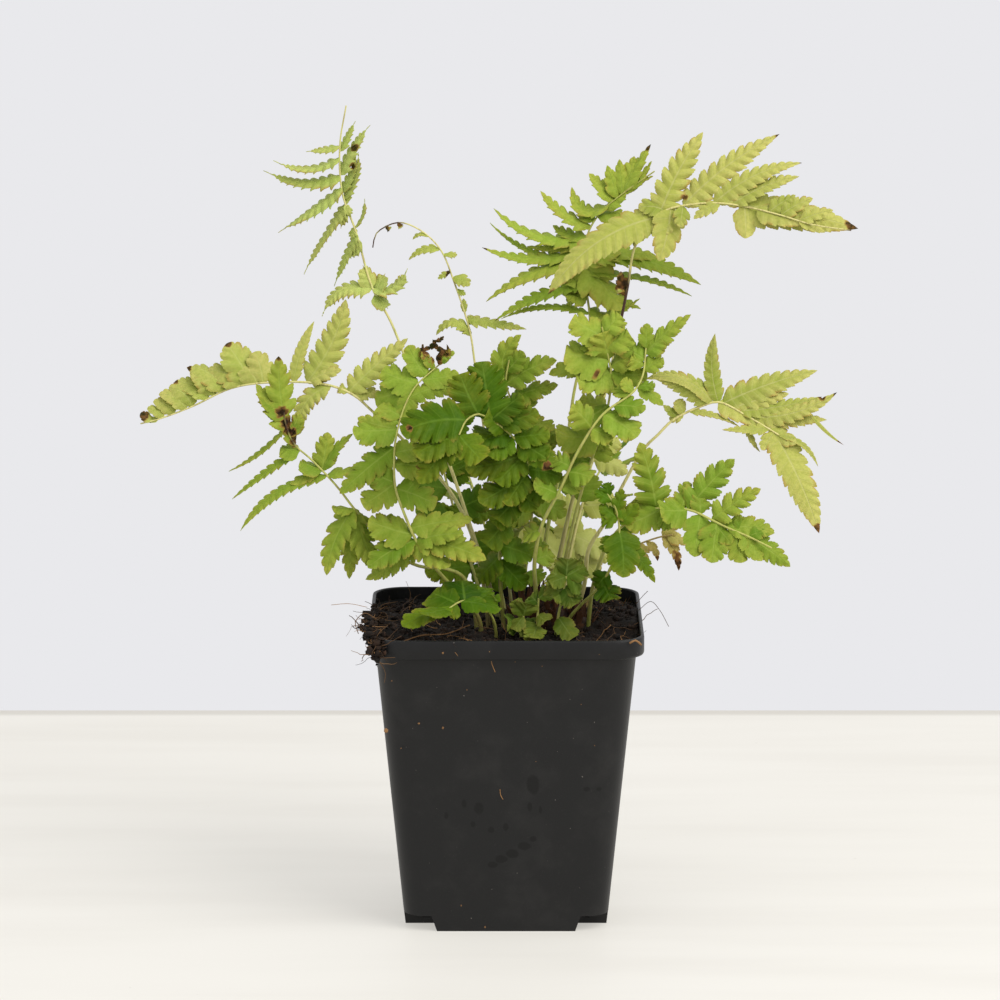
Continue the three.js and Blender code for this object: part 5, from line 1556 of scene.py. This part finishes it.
def tint(name, description, code, size):
    """A setting that is a colour, with or without its opacity."""
    return FloatVectorProperty(
        name=name, description=description, subtype="COLOR", size=size, default=linear(code)[:size]
    )


class PotSettings(bpy.types.PropertyGroup):
    wall: number("Wall", "Thickness of the pot's wall in millimetres", POT_WALL, 0.6, 3)
    corner_steps: number("Corner Steps", "Flat steps round each corner of the pot", 8, 3, 24, IntProperty)


class PeatSettings(bpy.types.PropertyGroup):
    peat_steps: number(
        "Surface Steps", "Fields along one side of the peat's surface", 110, 20, 200, IntProperty
    )
    crumbs: number("Crumbs", "Loose crumbs that lie on the peat", 1900, 0, 4000, IntProperty)
    fibres: number("Fibres", "Fibres that stick out of the peat", 420, 0, 2000, IntProperty)


class FrondSettings(bpy.types.PropertyGroup):
    lobe_size: number("Lobe Size", "Size of the lobes against the sizes listed for the fronds", 1, 0.5, 3)
    slant: number("Slant", "How far the lobes lean forward", 0.85, 0, 1.5)
    blade_thickness: number("Blade Thickness", "Thickness of a leaf blade in millimetres", 0.22, 0.1, 0.8)
    blade_rows: number("Blade Rows", "Fields across a blade, an even number", 6, 4, 12, IntProperty)
    stalk_sides: number("Stalk Sides", "Sides of a stalk", 8, 4, 16, IntProperty)
    stalk_step: number("Stalk Step", "Distance between a stalk's rings in millimetres", 2, 0.5, 10)


class StageSettings(bpy.types.PropertyGroup):
    floor_colour: tint("Floor Colour", "Colour of the painted board", 0x96948f, 4)
    glow_colour: tint("Glow Colour", "Colour of the board's own light", 0xfdfaf2, 4)
    floor_glow: number("Floor Glow", "Light that the board gives off, which softens shadows", 0.49, 0, 1)
    floor_back: FloatProperty(
        name="Floor Back", description="Where the board ends behind the pot", subtype="DISTANCE",
        default=0.297,
    )
    air_colour: tint("Air Colour", "Colour of the light all round", 0xe9e9ec, 3)
    air_strength: number("Air Strength", "Brightness all round", 1, 0, 10)
    key_power: FloatProperty(
        name="Key Power", description="Power of the main light", subtype="POWER", default=19,
    )
    fill_power: FloatProperty(
        name="Fill Power", description="Power of the softer light", subtype="POWER", default=3,
    )
    lens: FloatProperty(
        name="Lens", description="Focal length in millimetres", subtype="DISTANCE_CAMERA", default=196.06,
    )


class POTTEDFERN_OT_add_pot(bpy.types.Operator):
    """Adds the nursery pot and the crumbs that cling to it"""

    bl_idname = "potted_fern.add_pot"
    bl_label = "Add Pot"

    def execute(self, context):
        build_pot(context.scene.fern_pot)
        build_pot_specks()
        return {"FINISHED"}


class POTTEDFERN_OT_add_peat(bpy.types.Operator):
    """Adds the peat with its crumbs and fibres"""

    bl_idname = "potted_fern.add_peat"
    bl_label = "Add Peat"

    def execute(self, context):
        settings = context.scene.fern_peat
        build_peat(settings)
        build_crumbs(settings)
        build_fibres(settings)
        return {"FINISHED"}


class POTTEDFERN_OT_add_rootstock(bpy.types.Operator):
    """Adds the scaly rootstock that the stalks rise from"""

    bl_idname = "potted_fern.add_rootstock"
    bl_label = "Add Rootstock"

    def execute(self, context):
        build_rootstock()
        return {"FINISHED"}


class POTTEDFERN_OT_add_fronds(bpy.types.Operator):
    """Adds every frond with its stalk and lobed leaflets"""

    bl_idname = "potted_fern.add_fronds"
    bl_label = "Add Fronds"

    def execute(self, context):
        for frond in FRONDS:
            build_frond(frond, context.scene.fern_fronds, all_other_blades(frond["name"]))
        return {"FINISHED"}


class POTTEDFERN_OT_add_stage(bpy.types.Operator):
    """Adds the pale board, the soft light and the camera"""

    bl_idname = "potted_fern.add_stage"
    bl_label = "Add Stage"

    def execute(self, context):
        settings = context.scene.fern_stage
        context.scene.view_settings.view_transform = "Standard"
        build_floor(settings)
        build_light(settings)
        build_camera(settings)
        return {"FINISHED"}


# The operators in the order in which they are called
STEPS = ("add_pot", "add_peat", "add_rootstock", "add_fronds", "add_stage")


class POTTEDFERN_PT_panel(bpy.types.Panel):
    """Lists the steps that make the potted fern, and their sizes"""

    bl_label = "Potted Fern"
    bl_idname = "POTTEDFERN_PT_panel"
    bl_space_type = "VIEW_3D"
    bl_region_type = "UI"
    bl_category = "Fern"

    def draw(self, context):
        for step in STEPS:
            self.layout.operator("potted_fern." + step)
        for group in SETTINGS:
            box = self.layout.box()
            for name in SETTINGS[group].__annotations__:
                box.prop(getattr(context.scene, group), name)


SETTINGS = {
    "fern_pot": PotSettings,
    "fern_peat": PeatSettings,
    "fern_fronds": FrondSettings,
    "fern_stage": StageSettings,
}
CLASSES = (
    *SETTINGS.values(),
    POTTEDFERN_OT_add_pot,
    POTTEDFERN_OT_add_peat,
    POTTEDFERN_OT_add_rootstock,
    POTTEDFERN_OT_add_fronds,
    POTTEDFERN_OT_add_stage,
    POTTEDFERN_PT_panel,
)


def register():
    for cls in CLASSES:
        bpy.utils.register_class(cls)
    for name, group in SETTINGS.items():
        setattr(bpy.types.Scene, name, PointerProperty(type=group))


def unregister():
    for name in SETTINGS:
        delattr(bpy.types.Scene, name)
    for cls in reversed(CLASSES):
        bpy.utils.unregister_class(cls)


def main():
    """Makes every piece."""
    register()
    for step in STEPS:
        getattr(bpy.ops.potted_fern, step)()


if __name__ == "__main__":
    main()
